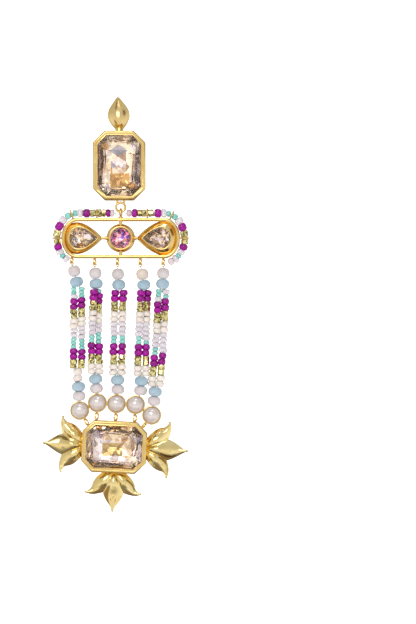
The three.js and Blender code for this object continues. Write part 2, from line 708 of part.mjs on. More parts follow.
// Just off straight up, so that each arc keeps to its own end of the racetrack.
const NEARLY_UP = 0.01;
const SEARCH_STEPS = 600;
const TUBE_STATIONS = 6;
function edgeStations() {
  const straight = RIM_WIDTH / 2 - RIM_END;
  const stations = [];
  const arc = (from, to, steps) => {
    for (let i = 0; i <= steps; i += 1) stations.push(edgePoint(from + ((to - from) * i) / steps));
  };
  arc(EDGE_LEFT_END, 90 + NEARLY_UP, LEFT_STATIONS);
  for (const share of TOP_STATIONS) {
    stations.push(edgePoint(90, share * straight));
  }
  arc(90 - NEARLY_UP, EDGE_RIGHT_END, RIGHT_STATIONS);
  return stations;
}

function beadEdge() {
  const path = new THREE.CatmullRomCurve3(edgeStations(), false, "centripetal");
  const length = path.getLength();
  const nearest = (point) => {
    let best = 0;
    for (let i = 0; i <= SEARCH_STEPS; i += 1) {
      const u = i / SEARCH_STEPS;
      if (path.getPointAt(u).distanceTo(point) < path.getPointAt(best).distanceTo(point)) best = u;
    }
    return best;
  };
  const stops = CARRIERS.map((c) => ({
    u: nearest(edgePoint(c.angle, c.across)),
    room: (CARRIER.wire + 2 * BEAD_GAP) / length,
  }));
  stops.push({ u: nearest(edgePoint(90, 0)), room: EDGE_LOOP_ROOM / length });
  stops.sort((a, b) => a.u - b.u);
  const marks = [{ u: 0, room: EDGE_END / length }, ...stops, { u: 1, room: EDGE_END / length }];
  const tubes = marks.slice(1).map((mark, i) => {
    const from = marks[i].u + marks[i].room;
    const to = mark.u - mark.room;
    const points = Array.from({ length: TUBE_STATIONS + 1 }, (_, k) =>
      path.getPointAt(from + ((to - from) * k) / TUBE_STATIONS),
    );
    return tube(new THREE.CatmullRomCurve3(points), EDGE_RADIUS, TUBE_SIDES, EDGE_STEPS);
  });
  return fuse([tube(path, THREAD_RADIUS, THREAD_SIDES, THREAD_STEPS), ...tubes]);
}

// The medallion's own frame, and a point of it in the part's frame.
const medallion = new THREE.Group();
medallion.position.set(MEDALLION_DRIFT, MID_Y, MEDALLION_CENTRE);
medallion.rotation.y = MEDALLION_TILT * degrees;
medallion.updateMatrixWorld(true);
const onMedallion = (x, z) => new THREE.Vector3(x, 0, z).applyMatrix4(medallion.matrixWorld);

// Cup centres in the medallion's frame: three in a row, and the outer two lower.
const CUPS = [
  { x: -CUP_PITCH - CUP_SPREAD_LEFT, z: CUP_RISE - CUP_FALL_LEFT },
  { x: -CUP_PITCH, z: CUP_RISE },
  { x: 0, z: CUP_RISE },
  { x: CUP_PITCH, z: CUP_RISE },
  { x: CUP_PITCH + CUP_SPREAD_RIGHT, z: CUP_RISE - CUP_FALL_RIGHT },
];

// The places of a strand's beads from its eyelet down to its pearl. Its upper two beads hang on one straight
// stretch of thread and its lower two on another.
function strandLay(i) {
  const lay = STRAND_LAY[i];
  const cup = CUPS[i];
  const eyelet = at(eyeletX(i), eyeletZ(i) - EYELET.radius - EYELET.wire);
  const foot = onMedallion(cup.x + lay.seat, cup.z + CUP_RADIUS + SEAT_GAP);
  const into = onMedallion(cup.x + lay.seat * THREAD_END_ASIDE, cup.z + THREAD_END_RISE);
  const off = (share, aside) => {
    const point = eyelet.clone().lerp(foot, share);
    point.x += aside;
    return point;
  };
  const length = eyelet.distanceTo(foot);
  const upperLength = TOP_BEAD.height + TOP_RONDELLE.height + 2 * BEAD_GAP;
  const lowerLength = LOW_BEAD.height + LOW_RONDELLE.height + 2 * BEAD_GAP;
  const hook = off(lay.hang / length, lay.first);
  const split = off((lay.hang + upperLength) / length, lay.upper);
  const join = off(1 - lowerLength / length, lay.lower);
  const upperWay = new THREE.Vector3().subVectors(hook, split).normalize();
  const lowerWay = new THREE.Vector3().subVectors(join, foot).normalize();
  const topBead = hook.clone().addScaledVector(upperWay, -TOP_BEAD.height / 2);
  const topRondelle = split.clone().addScaledVector(upperWay, TOP_RONDELLE.height / 2 + BEAD_GAP);
  const lowBead = foot.clone().addScaledVector(lowerWay, LOW_BEAD.height / 2);
  const lowRondelle = join.clone().addScaledVector(lowerWay, -LOW_RONDELLE.height / 2 - BEAD_GAP);
  return {
    hook, topBead, topRondelle, split, join, lowRondelle, lowBead, foot, into,
    upperWay, lowerWay, bow: lay.bow,
  };
}

// One string of the pair, from below the upper beads to above the lower ones.
const STRING_SHARES = [0.01, 0.25, 0.5, 0.75, 0.99];
function stringCurve(lay, side) {
  const points = STRING_SHARES.map((share) => {
    const point = lay.split.clone().lerp(lay.join, share);
    point.x += lay.bow * Math.sin(share * Math.PI) + (side * STRING_PITCH) / 2;
    return point;
  });
  return new THREE.CatmullRomCurve3(points);
}

// Just inside each end, the thread crosses from one string of the pair to the other.
const YOKE_SHARES = [0.02, 0.98];
const YOKE_DEPTH = 1.2;
function strand(i) {
  const lay = strandLay(i);
  const thread = (from, to) => rod(from, to, THREAD_RADIUS, THREAD_SIDES);
  const past = (point, way, distance) => point.clone().addScaledVector(way, distance);
  const eyeletFoot = eyeletZ(i) - EYELET.radius + EYELET.wire;
  const loopCentre = at(eyeletX(i), eyeletFoot + STRAND_LOOP.wire + LOOP_PLAY - STRAND_LOOP.radius);
  const loopFoot = at(eyeletX(i), loopCentre.z - STRAND_LOOP.radius);
  const strings = [-1, 1].map((side) => stringCurve(lay, side));
  return fuse([
    wireRing(STRAND_LOOP, loopCentre, EYELET_TURN - 90),
    thread(loopFoot, lay.hook),
    thread(past(lay.hook, lay.upperWay, THREAD_RADIUS), past(lay.split, lay.upperWay, -YOKE_DEPTH)),
    ...strings.map((curve) => tube(curve, STRING_RADIUS, TUBE_SIDES, STRING_STEPS)),
    ...YOKE_SHARES.map((share) => thread(strings[0].getPointAt(share), strings[1].getPointAt(share))),
    thread(past(lay.join, lay.lowerWay, YOKE_DEPTH), past(lay.foot, lay.lowerWay, -THREAD_RADIUS)),
    thread(lay.foot, lay.into),
  ]);
}

// A drilled bead on the strand. Full is how far its flat ends reach out towards its belly.
function drilledBead(size, full, belly) {
  const half = size.height / 2;
  const profile = [
    [BEAD_HOLE, -half], [size.radius * full, -half], [size.radius, -half * belly],
    [size.radius, half * belly], [size.radius * full, half], [BEAD_HOLE, half], [BEAD_HOLE, -half],
  ].map(([r, y]) => new THREE.Vector2(r, y));
  return new THREE.LatheGeometry(profile, BEAD_SIDES).rotateX(90 * degrees);
}

function placedBead(name, size, shape, centre, way, material) {
  const bead = piece(name, drilledBead(size, shape.full, shape.belly), material);
  bead.position.copy(centre);
  bead.quaternion.setFromUnitVectors(new THREE.Vector3(0, 0, 1), way);
  return bead;
}

const ROUNDED = { full: 0.55, belly: 0.38 };
const FLATTER = { full: 0.66, belly: 0.34 };

function strandPieces(i) {
  const lay = strandLay(i);
  const n = i + 1;
  return [
    piece(`strand_${n}`, strand(i), seeds),
    placedBead(`top_bead_${n}`, TOP_BEAD, ROUNDED, lay.topBead, lay.upperWay, milky),
    placedBead(`top_rondelle_${n}`, TOP_RONDELLE, ROUNDED, lay.topRondelle, lay.upperWay, blue),
    placedBead(`low_rondelle_${n}`, LOW_RONDELLE, FLATTER, lay.lowRondelle, lay.lowerWay, blue),
    placedBead(`low_bead_${n}`, LOW_BEAD, FLATTER, lay.lowBead, lay.lowerWay, milky),
  ];
}

// Points of a quarter arc from the widest place to the axis, shared by a pearl and its cup.
const ARC_SHARES = [0, 0.4, 0.75, 1];
function quarterArc(radius, way) {
  return ARC_SHARES.map((share) => {
    const angle = (share * Math.PI) / 2;
    const off = share === 1 ? 0 : radius * Math.cos(angle);
    return new THREE.Vector2(off, way * radius * Math.sin(angle));
  });
}

// The thread's hole through a cup's wall and into its pearl.
function threadHole(i, radius) {
  const cup = CUPS[i];
  const [outside, inside] = [HOLE_START, HOLE_END].map(
    (end) => new THREE.Vector3(cup.x + STRAND_LAY[i].seat * end.aside, 0, cup.z + end.rise),
  );
  return rod(outside, inside, radius);
}

// A pearl with a blind hole at its top for the strand's thread.
function pearlBead(i) {
  const profile = [...quarterArc(PEARL_RADIUS, -1).reverse(), ...quarterArc(PEARL_RADIUS, 1).slice(1)];
  const ball = new THREE.LatheGeometry(profile, PEARL_SIDES).translate(CUPS[i].x, 0, CUPS[i].z);
  return piece(`pearl_${i + 1}`, fuse([ball], [threadHole(i, BEAD_HOLE)]), pearl);
}

// The cup behind a pearl: a thin bowl, open at the front, its edge just past the pearl's middle.
function pearlCup(cup) {
  const inner = PEARL_RADIUS + STONE_GAP;
  const profile = [
    ...quarterArc(inner, 1).reverse(),
    new THREE.Vector2(inner, -CUP_LIP),
    new THREE.Vector2(CUP_RADIUS, -CUP_LIP),
    ...quarterArc(CUP_RADIUS, 1),
  ];
  return new THREE.LatheGeometry(profile, PEARL_SIDES).translate(cup.x, 0, cup.z);
}

// A stem ring between a cup and the setting's edge, seen almost edge-on.
function stem(cup) {
  const a = LOWER_STONE_WIDTH / 2 + SETTING_WALL;
  const b = LOWER_STONE_HEIGHT / 2 + SETTING_WALL;
  const cut = LOWER_STONE_CUT + SETTING_WALL * CUT_GROWTH;
  const outer = Math.abs(cup.x) > a - cut / 2;
  const foot = outer
    ? new THREE.Vector2(Math.sign(cup.x) * (a - cut / 2), b - cut / 2)
    : new THREE.Vector2(cup.x, b);
  const head = new THREE.Vector2(cup.x, cup.z);
  const way = foot.clone().sub(head).normalize();
  const edge = head.clone().addScaledVector(way, CUP_RADIUS - SOLDER);
  const span = edge.distanceTo(foot) + SOLDER;
  const middle = edge.clone().addScaledVector(way, span / 2);
  const lean = Math.atan2(-way.x, -way.y) / degrees;
  const centre = new THREE.Vector3(middle.x, 0, middle.y);
  return wireRing({ radius: span / 2 - STEM.wire, ...STEM }, centre, EYELET_TURN, lean);
}

// A flower whose root sits on the setting's wall, opening along a direction given in degrees.
function flower(root, direction, reach) {
  const out = new THREE.Vector2(Math.cos(direction * degrees), Math.sin(direction * degrees));
  const side = new THREE.Vector2(-out.y, out.x);
  const place = (flip) => (along, across, forward) =>
    new THREE.Vector3(
      root.x + out.x * (along - 2 * SOLDER) + side.x * across * flip,
      FLOWER_BACK - forward,
      root.y + out.y * (along - 2 * SOLDER) + side.y * across * flip,
    );
  const middle = { length: FLOWER_LENGTH * reach, halfWidth: FLOWER_HALF_WIDTH, height: FLOWER_HEIGHT };
  const wing = {
    length: SIDE_ALONG * reach,
    reach: SIDE_ACROSS,
    halfWidth: SIDE_HALF_WIDTH,
    height: SIDE_HEIGHT,
  };
  return [
    petal(MIDDLE_PETAL, middle, place(1)),
    petal(SIDE_PETAL, wing, place(1)),
    petal(SIDE_PETAL, wing, place(-1)),
  ];
}

function lowerSetting() {
  const backY = SETTING_DEPTH / 2;
  const cup = boxSetting(lowerOutline, new THREE.Vector3(0, 0, 0), backY);
  const a = LOWER_STONE_WIDTH / 2 + SETTING_WALL;
  const b = LOWER_STONE_HEIGHT / 2 + SETTING_WALL;
  const flowers = FLOWERS.flatMap((f) => {
    const root = new THREE.Vector2(f.side * a, f.base * b);
    if (f.side === 0) root.x += f.shift;
    else root.y += f.shift;
    return flower(root, f.direction, f.reach);
  });
  const solderBalls = CUPS.slice(1).map((c, i) =>
    ball(SOLDER_BALL, new THREE.Vector3((c.x + CUPS[i].x) / 2, SOLDER_BALL_BACK, (c.z + CUPS[i].z) / 2)),
  );
  return fuse(
    [cup.outer, ...flowers, ...CUPS.map(pearlCup), ...CUPS.map(stem), ...solderBalls],
    [cup.hollow, ...CUPS.map((_, i) => threadHole(i, CUP_HOLE))],
  );
}

// The whole earring.
const earring = new THREE.Group();
earring.name = "chandelier_earring";

const stud = new THREE.Group();
stud.add(
  piece("upper_setting", upperSetting(), gold),
  piece("upper_stone", boxStone(upperOutline, new THREE.Vector3(0, 0, UPPER_CENTRE), 0), champagne),
  piece("ear_post", earPost(), postGold),
);

const drop = new THREE.Group();
drop.position.x = DROP_SHIFT;
drop.add(
  piece("frame", frame(), gold),
  piece("left_pear_stone", collarStone(leftPear, PEAR_TABLE_INSET, leftCentre), champagne),
  piece("right_pear_stone", collarStone(rightPear, PEAR_TABLE_INSET, rightCentre), champagne),
  piece("round_stone", collarStone(roundStone, ROUND_TABLE_INSET, frameMiddle), pink),
  piece("bead_edge", beadEdge(), seeds),
);
for (let i = 0; i < STRANDS; i += 1) drop.add(...strandPieces(i));

medallion.add(
  piece("lower_setting", lowerSetting(), gold),
  piece("lower_stone", boxStone(lowerOutline, new THREE.Vector3(0, 0, 0), SETTING_DEPTH / 2), champagne),
  ...CUPS.map((_, i) => pearlBead(i)),
);
drop.add(medallion);
earring.add(stud, drop);

export default earring;
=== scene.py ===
# %% [markdown]
# A chandelier earring in Blender.
# The earring hangs straight down: a polished bud, an upright octagon stone, a racetrack frame with three
# stones and a string of seed beads round it, five double strands of beads, and a medallion with pearls
# and flowers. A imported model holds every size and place. This lesson makes the smooth, polished pieces
# that stand for its plain solids, and gives each one the finish that the real one has.

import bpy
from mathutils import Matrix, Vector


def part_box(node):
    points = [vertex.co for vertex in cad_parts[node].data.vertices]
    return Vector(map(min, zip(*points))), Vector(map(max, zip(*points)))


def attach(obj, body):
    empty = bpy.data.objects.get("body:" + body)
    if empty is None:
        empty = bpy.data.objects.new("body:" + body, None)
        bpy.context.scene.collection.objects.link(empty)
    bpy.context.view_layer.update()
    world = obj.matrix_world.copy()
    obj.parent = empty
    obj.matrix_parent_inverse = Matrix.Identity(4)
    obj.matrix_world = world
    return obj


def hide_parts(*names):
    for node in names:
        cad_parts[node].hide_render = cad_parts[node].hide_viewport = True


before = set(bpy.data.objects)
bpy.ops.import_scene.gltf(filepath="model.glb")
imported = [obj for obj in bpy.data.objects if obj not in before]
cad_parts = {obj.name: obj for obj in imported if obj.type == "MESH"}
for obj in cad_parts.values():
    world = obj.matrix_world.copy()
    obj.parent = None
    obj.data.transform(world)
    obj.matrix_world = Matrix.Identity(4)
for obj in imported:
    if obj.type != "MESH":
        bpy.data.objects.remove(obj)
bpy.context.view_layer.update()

# %% [markdown]
# Jewellery is measured in millimetres, so every piece is worked out in millimetres and scaled once, at
# the end. The places come from the boxes of the solids, so that each piece sits where its solid does.

# %% Units and places
import math
import random

import bmesh
import bpy
from mathutils import Matrix, Vector

MM = 0.001
ACROSS, BACK, UP = Vector((1, 0, 0)), Vector((0, 1, 0)), Vector((0, 0, 1))


def middle_of(node):
    """The centre of a solid's box, in millimetres."""
    low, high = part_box(node)
    return (low + high) / (2 * MM)


UPPER_CENTRE = middle_of("upper_stone")
FRAME_CENTRE = middle_of("round_stone")
LOWER_CENTRE = middle_of("lower_stone")
MID_Y = -2.2
print("upper stone at", UPPER_CENTRE, "frame at", FRAME_CENTRE, "lower stone at", LOWER_CENTRE)

# %% [markdown]
# The camera comes first. A product photograph of jewellery is taken from far off with a long lens, so the
# earring keeps its proportions. The earring stands left of the middle of the picture.

# %% The camera
LENS = 200
VIEW_CENTRE = Vector((25.0, 0, -55.6))
VIEW_DISTANCE = 979.3

camera_data = bpy.data.cameras.new("portrait_camera")
camera_data.lens = LENS
camera_data.clip_start = 0.01
camera = bpy.data.objects.new("portrait_camera", camera_data)
camera.location = (VIEW_CENTRE - BACK * VIEW_DISTANCE) * MM
camera.rotation_euler = (math.radians(90), 0, 0)
bpy.context.scene.collection.objects.link(camera)
bpy.context.scene.camera = camera
print("camera at", tuple(camera.location))

# %% [markdown]
# Finishing a piece is always the same few steps: merge what touches, turn the faces outwards, scale to
# metres, choose which edges stay crisp, and let the piece ride on the body that carries it. They go in
# one helper.

# %% Finishing a piece
MERGE = 0.0005


def gather(parts):
    """Joins several bmeshes into one and frees them."""
    whole = bmesh.new()
    carrier = bpy.data.meshes.new("carrier")
    for part in parts:
        part.to_mesh(carrier)
        part.free()
        whole.from_mesh(carrier)
    bpy.data.meshes.remove(carrier)
    return whole


def rotation(degrees, axis):
    """A turn about one of the main axes."""
    return Matrix.Rotation(math.radians(degrees), 4, axis)


def placed(part, matrix):
    """Moves a bmesh and gives it back."""
    bmesh.ops.transform(part, matrix=matrix, verts=part.verts)
    return part


def finish_piece(name, bm, body, looks, slot, stands_for=(), crisp=38):
    """Makes a bmesh in millimetres a finished object. Edges sharper than crisp degrees stay crisp."""
    bmesh.ops.remove_doubles(bm, verts=bm.verts, dist=MERGE)
    bmesh.ops.recalc_face_normals(bm, faces=bm.faces)
    bmesh.ops.scale(bm, vec=(MM, MM, MM), verts=bm.verts)
    mesh = bpy.data.meshes.new(name)
    bm.to_mesh(mesh)
    bm.free()
    mesh.polygons.foreach_set("use_smooth", [crisp > 0] * len(mesh.polygons))
    if crisp > 0:
        mesh.set_sharp_from_angle(angle=math.radians(crisp))
    for look in looks:
        mesh.materials.append(look)
    piece = bpy.data.objects.new(name, mesh)
    bpy.context.scene.collection.objects.link(piece)
    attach(piece, body)
    if stands_for:
        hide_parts(*stands_for)
    print(name, len(mesh.polygons), "faces")
    return piece


print("places closer than", MERGE, "mm become one")

# %% [markdown]
# The studio is white all round. A big dome shows plain white to the camera from every side, and only the
# camera and clear glass see it. The light itself comes from the world, brighter above than below, and
# from soft boxes: polished gold is drawn by what it mirrors, so it needs both bright boxes and darker
# places between them.

# %% The studio
FLOOR_Z = -150
FLOOR_RADIUS = 350
DOME_RADIUS = 2500


def white_look(name, strength):
    material = bpy.data.materials.new(name)
    material.use_nodes = True
    shader = material.node_tree.nodes["Principled BSDF"]
    shader.inputs["Base Color"].default_value = (0.9, 0.9, 0.9, 1)
    shader.inputs["Roughness"].default_value = 0.9
    shader.inputs["Emission Color"].default_value = (1, 1, 1, 1)
    shader.inputs["Emission Strength"].default_value = strength
    return material


def stage_piece(name, bm, strength):
    bmesh.ops.scale(bm, vec=(MM, MM, MM), verts=bm.verts)
    mesh = bpy.data.meshes.new(name)
    bm.to_mesh(mesh)
    bm.free()
    mesh.materials.append(white_look(name + "_white", strength))
    piece = bpy.data.objects.new(name, mesh)
    bpy.context.scene.collection.objects.link(piece)
    return piece


floor_shape = bmesh.new()
bmesh.ops.create_circle(
    floor_shape, cap_ends=True, segments=96, radius=FLOOR_RADIUS, matrix=Matrix.Translation(UP * FLOOR_Z)
)
floor = stage_piece("floor", floor_shape, 0.6)
floor.visible_glossy = False

dome_shape = bmesh.new()
bmesh.ops.create_icosphere(dome_shape, subdivisions=4, radius=DOME_RADIUS)
dome = stage_piece("dome", dome_shape, 1.0)
dome.visible_diffuse = False
dome.visible_glossy = False
dome.visible_shadow = False
dome.visible_volume_scatter = False
print("floor at", FLOOR_Z, "mm, dome", DOME_RADIUS, "mm away")

# %% [markdown]
# The light is drawn in the sky itself. A ramp from below to above is darkest underfoot and brightest at
# about a third of the way up, like light thrown back by a white table. The side behind the earring is a
# little darker, which draws the edges of the gold. Small dark and bright cards in the sky give the gold
# the crisp patches that a polished piece shows. Cards in the sky were chosen over real ones, because they
# cost no extra pieces and throw no shadow.

# %% The light
world = bpy.data.worlds.new("studio")
bpy.context.scene.world = world
world.use_nodes = True
sky = world.node_tree


def sky_node(kind, **values):
    node = sky.nodes.new(kind)
    for name, value in values.items():
        setattr(node, name, value)
    return node


def sky_range(value, low, high):
    """How far a value has come from low to high, eased at both ends."""
    spread = sky_node("ShaderNodeMapRange", interpolation_type="SMOOTHSTEP")
    spread.inputs["From Min"].default_value = low
    spread.inputs["From Max"].default_value = high
    sky.links.new(value, spread.inputs["Value"])
    return spread.outputs["Result"]


def sky_blend(colour, share, other, blend="MIX"):
    """Blends a plain colour over the sky's colour by a share."""
    mix = sky_node("ShaderNodeMix", data_type="RGBA", blend_type=blend)
    sky.links.new(share, mix.inputs["Factor"])
    sky.links.new(colour, mix.inputs["A"])
    mix.inputs["B"].default_value = (*other, 1)
    return mix.outputs["Result"]


direction = sky_node("ShaderNodeTexCoord").outputs["Generated"]
split = sky_node("ShaderNodeSeparateXYZ")
sky.links.new(direction, split.inputs["Vector"])
shades = sky_node("ShaderNodeValToRGB")
shades.color_ramp.elements[0].color = (0.2, 0.13, 0.07, 1)
shades.color_ramp.elements[1].color = (0.6, 0.6, 0.61, 1)
for place, level in ((0.1, 0.28), (0.2, 0.84), (0.3, 1.0), (0.42, 0.87), (0.52, 0.79), (0.7, 0.62)):
    shades.color_ramp.elements.new(place).color = (level, level * 0.99, level * 0.98, 1)
upward = sky_node("ShaderNodeMapRange")
upward.inputs["From Min"].default_value = -1
sky.links.new(split.outputs["Z"], upward.inputs["Value"])
sky.links.new(upward.outputs["Result"], shades.inputs["Fac"])
light_all_round = shades.outputs["Color"]
light_all_round = sky_blend(light_all_round, sky_range(split.outputs["Y"], 0.3, 0.85), (0.46, 0.42, 0.37))


def card_in_sky(colour, toward, inner, outer, shade):
    """A round card in the sky, darker or brighter by its shade, with its half angles in degrees."""
    near = sky_node("ShaderNodeVectorMath", operation="DOT_PRODUCT")
    near.inputs[1].default_value = Vector(toward).normalized()
    sky.links.new(direction, near.inputs[0])
    share = sky_range(near.outputs["Value"], math.cos(math.radians(outer)), math.cos(math.radians(inner)))
    return sky_blend(colour, share, shade, "MULTIPLY")


CARDS = [
    ((0.0, -0.8, -0.6), 5, 11, (1.5, 1.45, 1.4)),
    ((0.0, -0.9, -0.44), 4, 6.5, (0.28, 0.2, 0.12)),
    ((0.5, -0.8, -0.33), 3, 5, (0.3, 0.22, 0.13)),
    ((-0.52, -0.8, -0.3), 3, 5, (0.3, 0.22, 0.13)),
    ((-0.8, -0.3, -0.5), 12, 20, (0.34, 0.24, 0.14)),
    ((0.85, -0.2, 0.4), 12, 18, (0.34, 0.24, 0.14)),
    ((0.4, -0.4, -0.8), 7, 11, (0.3, 0.2, 0.12)),
    ((-0.5, -0.35, 0.8), 8, 13, (0.35, 0.26, 0.16)),
]
for card in CARDS:
    light_all_round = card_in_sky(light_all_round, *card)
sky.links.new(light_all_round, sky.nodes["Background"].inputs["Color"])
print("cards in the sky", len(CARDS))

# %% [markdown]
# Two soft boxes and a wide fill from behind stand in for the lamps of a table-top studio. The large one,
# up and to the left, draws the long highlights on the rim and the bud. The fill isn't seen in mirrors, so
# it only keeps the backs from going dark. Colour management is set to Standard, because white has to stay
# white here.

# %% Soft boxes
def soft_box(name, place, aim, size, watts):
    """An area light: place and aim in millimetres, width and height of the box too."""
    data = bpy.data.lights.new(name, "AREA")
    data.shape = "RECTANGLE"
    data.size = size[0] * MM
    data.size_y = size[1] * MM
    data.energy = watts
    box = bpy.data.objects.new(name, data)
    box.location = Vector(place) * MM
    box.rotation_euler = (Vector(aim) - Vector(place)).to_track_quat("-Z", "Y").to_euler()
    box.visible_camera = False
    bpy.context.scene.collection.objects.link(box)
    return box


EARRING_MIDDLE = (0, 0, -55)
soft_box("key_box", (-230, -1250, 560), EARRING_MIDDLE, (900, 620), 4.9)
soft_box("top_box", (120, -420, 1250), EARRING_MIDDLE, (600, 240), 1.6)
back_fill = soft_box("back_fill", (300, 1300, 300), EARRING_MIDDLE, (1500, 1500), 7.0)
back_fill.visible_glossy = False
bpy.context.scene.view_settings.view_transform = "Standard"

# %% [markdown]
# A finish is a chain of small nodes before one shader. The same few links come back in gold, stone, pearl
# and glass, so they get names here: noise that stays on the piece, a value that follows it, a ramp of
# colours, one colour times another, and bumps. Noise uses object coordinates, so that nothing slides when
# the earring swings.

# %% Helpers for finishes
def new_look(name, values):
    """A material whose Principled shader takes plain values on its own sockets."""
    material = bpy.data.materials.new(name)
    material.use_nodes = True
    shader = material.node_tree.nodes["Principled BSDF"]
    for socket, value in values.items():
        shader.inputs[socket].default_value = value
    return material


def join(material, source, target, socket):
    material.node_tree.links.new(source, target.inputs[socket])


def shader_of(material):
    return material.node_tree.nodes["Principled BSDF"]


def new_node(material, kind, **values):
    """A node with plain values on its sockets. An underscore in a socket's name stands for a space."""
    made = material.node_tree.nodes.new(kind)
    for socket, value in values.items():
        made.inputs[socket.replace("_", " ")].default_value = value
    return made


def noise(material, scale, detail, roughness=0.5):
    """Noise on object coordinates. A scale of 1000 gives spots of about a millimetre."""
    place = new_node(material, "ShaderNodeTexCoord")
    spots = new_node(material, "ShaderNodeTexNoise", Scale=scale, Detail=detail, Roughness=roughness)
    join(material, place.outputs["Object"], spots, "Vector")
    return spots.outputs["Fac"]


def vary(material, amount, socket, low, high):
    """Drives a plain number socket from low to high by the middle part of a noise."""
    spread = new_node(material, "ShaderNodeMapRange", From_Min=0.3, From_Max=0.7, To_Min=low, To_Max=high)
    join(material, amount, spread, "Value")
    join(material, spread.outputs["Result"], shader_of(material), socket)


def tint(material, amount, colours):
    """Colours from a ramp; colours is a list of places and colours."""
    ramp = new_node(material, "ShaderNodeValToRGB")
    steps = ramp.color_ramp.elements
    while len(steps) < len(colours):
        steps.new(0.5)
    for step, (place, colour) in zip(steps, colours):
        step.position = place
        step.color = (*colour, 1)
    join(material, amount, ramp, "Fac")
    return ramp.outputs["Color"]


def multiplied(material, first, second):
    """One colour times another."""
    mix = new_node(material, "ShaderNodeMix")
    mix.data_type = "RGBA"
    mix.blend_type = "MULTIPLY"
    mix.inputs["Factor"].default_value = 1.0
    join(material, first, mix, "A")
    join(material, second, mix, "B")
    return mix.outputs["Result"]


def bumps(material, layers):
    """Chains bumps: each layer is a height, its strength and its depth in millimetres."""
    normal = None
    for height, strength, depth in layers:
        bump = new_node(material, "ShaderNodeBump", Strength=strength, Distance=depth * MM)
        join(material, height, bump, "Height")
        if normal is not None:
            join(material, normal, bump, "Normal")
        normal = bump.outputs["Normal"]
    join(material, normal, shader_of(material), "Normal")


print("noise spots are about", 1 / (1000 * MM), "mm at a scale of 1000")

# %% [markdown]
# The gold is a plated brass casting, polished by hand. A polished casting is never a perfect mirror: soft
# ripples are left by the wheel, a fine grain by the plating, and the tone shifts a little from place to
# place. Four finishes share one recipe: the castings, the paler and livelier pressed petals, the satin
# bud and the pin.

# %% Gold
def polished_gold(name, deep, pale, polish, grain, wave=0.12, satin=0.05):
    """Plated brass. deep and pale are its tones and polish its roughness. wave, satin and grain are its
    bumps, from broad to fine."""
    gold = new_look(name, {"Metallic": 1.0, "Specular IOR Level": 0.5})
    tone = tint(gold, noise(gold, 260, 2), [(0.35, deep), (0.65, pale)])
    join(gold, tone, shader_of(gold), "Base Color")
    vary(gold, noise(gold, 900, 4), "Roughness", *polish)
    bumps(gold, [
        (noise(gold, 420, 1), 0.3, wave),
        (noise(gold, 2600, 2), satin, 0.03),
        (noise(gold, 7000, 2), grain, 0.012),
    ])
    return gold


GOLD = polished_gold("gold_plate", (0.84, 0.58, 0.2), (0.93, 0.7, 0.3), (0.08, 0.15), 0.12, 0.2)
# The petals' paler tones are painted light: they are paler than the castings so that they look as brightly
# lit as they do.
PETAL_GOLD = polished_gold("petal_plate", (0.91, 0.69, 0.28), (0.99, 0.82, 0.4), (0.05, 0.13), 0.4, 0.3, 0.28)
BUD_GOLD = polished_gold("bud_plate", (0.86, 0.62, 0.25), (0.93, 0.72, 0.34), (0.18, 0.25), 0.1, 0.05)
POST_GOLD = polished_gold("pin_plate", (0.86, 0.6, 0.22), (0.93, 0.7, 0.32), (0.18, 0.3), 0.2)
print("gold finishes", GOLD.name, PETAL_GOLD.name, BUD_GOLD.name, POST_GOLD.name)

# %% [markdown]
# Each octagon stone sits in a box setting: a strip of gold bent to the stone's outline, with a narrow lip
# burnished over the stone's edge. One octagonal face is enough to make it. The corners of a rectangle are
# bevelled off, then the face is inset and moved step by step: up the outer wall, over the lip and down
# into the seat.

# %% A box setting
SETTING_WALL = 0.92
SETTING_DEPTH = 4.4
LIP_OVERLAP = 0.12
LIP_HEIGHT = 0.42
STONE_GAP = 0.12
GIRDLE_HEIGHT = 0.4
CUT_GROWTH = 2 - math.sqrt(2)
LIP_COVER = 0.42
BACK_ROUNDING, CORNER_ROUNDING = 0.3, 0.22
# The back plate lies a little inside the wall's edge.
BACK_STEPS = [(0.8, 0), (0.1, -0.12)]
LEVEL = 0.02
# The wall, its rounded edge, the dished front, the burnished bead at the stone, and the hollow under the lip.
SETTING_STEPS = [
    (0.0, SETTING_DEPTH - 0.42),
    (0.05, 0.16), (0.12, 0.13), (0.16, 0.09), (0.13, 0.04),
    (0.25, -0.07), (0.3, -0.03),
    (0.06, 0.02), (0.06, 0.04), (0.07, 0.0), (0.07, -0.06), (0.07, -0.1),
    (-LIP_COVER - STONE_GAP, LIP_HEIGHT * -0.76), (0.0, -GIRDLE_HEIGHT - STONE_GAP), (2.4, -2.6),
]


def octagon_face(width, height, cut):
    """A rectangle in the upright plane, facing the viewer, with its corners cut off."""
    bm = bmesh.new()
    bmesh.ops.create_grid(
        bm, x_segments=1, y_segments=1, size=0.5, matrix=rotation(90, "X")
    )
    bmesh.ops.scale(bm, vec=(width, 1, height), verts=bm.verts)
    bmesh.ops.bevel(
        bm, geom=bm.verts[:], offset=cut, affect="VERTICES", segments=1, profile=0.5, material=-1
    )
    return bm


def step(bm, face, inward, forward):
    """Insets a face and moves it along the way that it looks."""
    bmesh.ops.inset_individual(bm, faces=[face], thickness=inward, depth=forward, use_even_offset=True)


def close_back(bm):
    bmesh.ops.holes_fill(bm, edges=[e for e in bm.edges if e.is_boundary], sides=0)


def level_edges(bm, y):
    """Edges that lie flat at one depth."""
    return [e for e in bm.edges if all(abs(v.co.y - y) < LEVEL for v in e.verts)]


def round_off(bm, edges, size, segments):
    bmesh.ops.bevel(
        bm, geom=edges, offset=size, affect="EDGES", segments=segments, profile=0.5, material=-1
    )


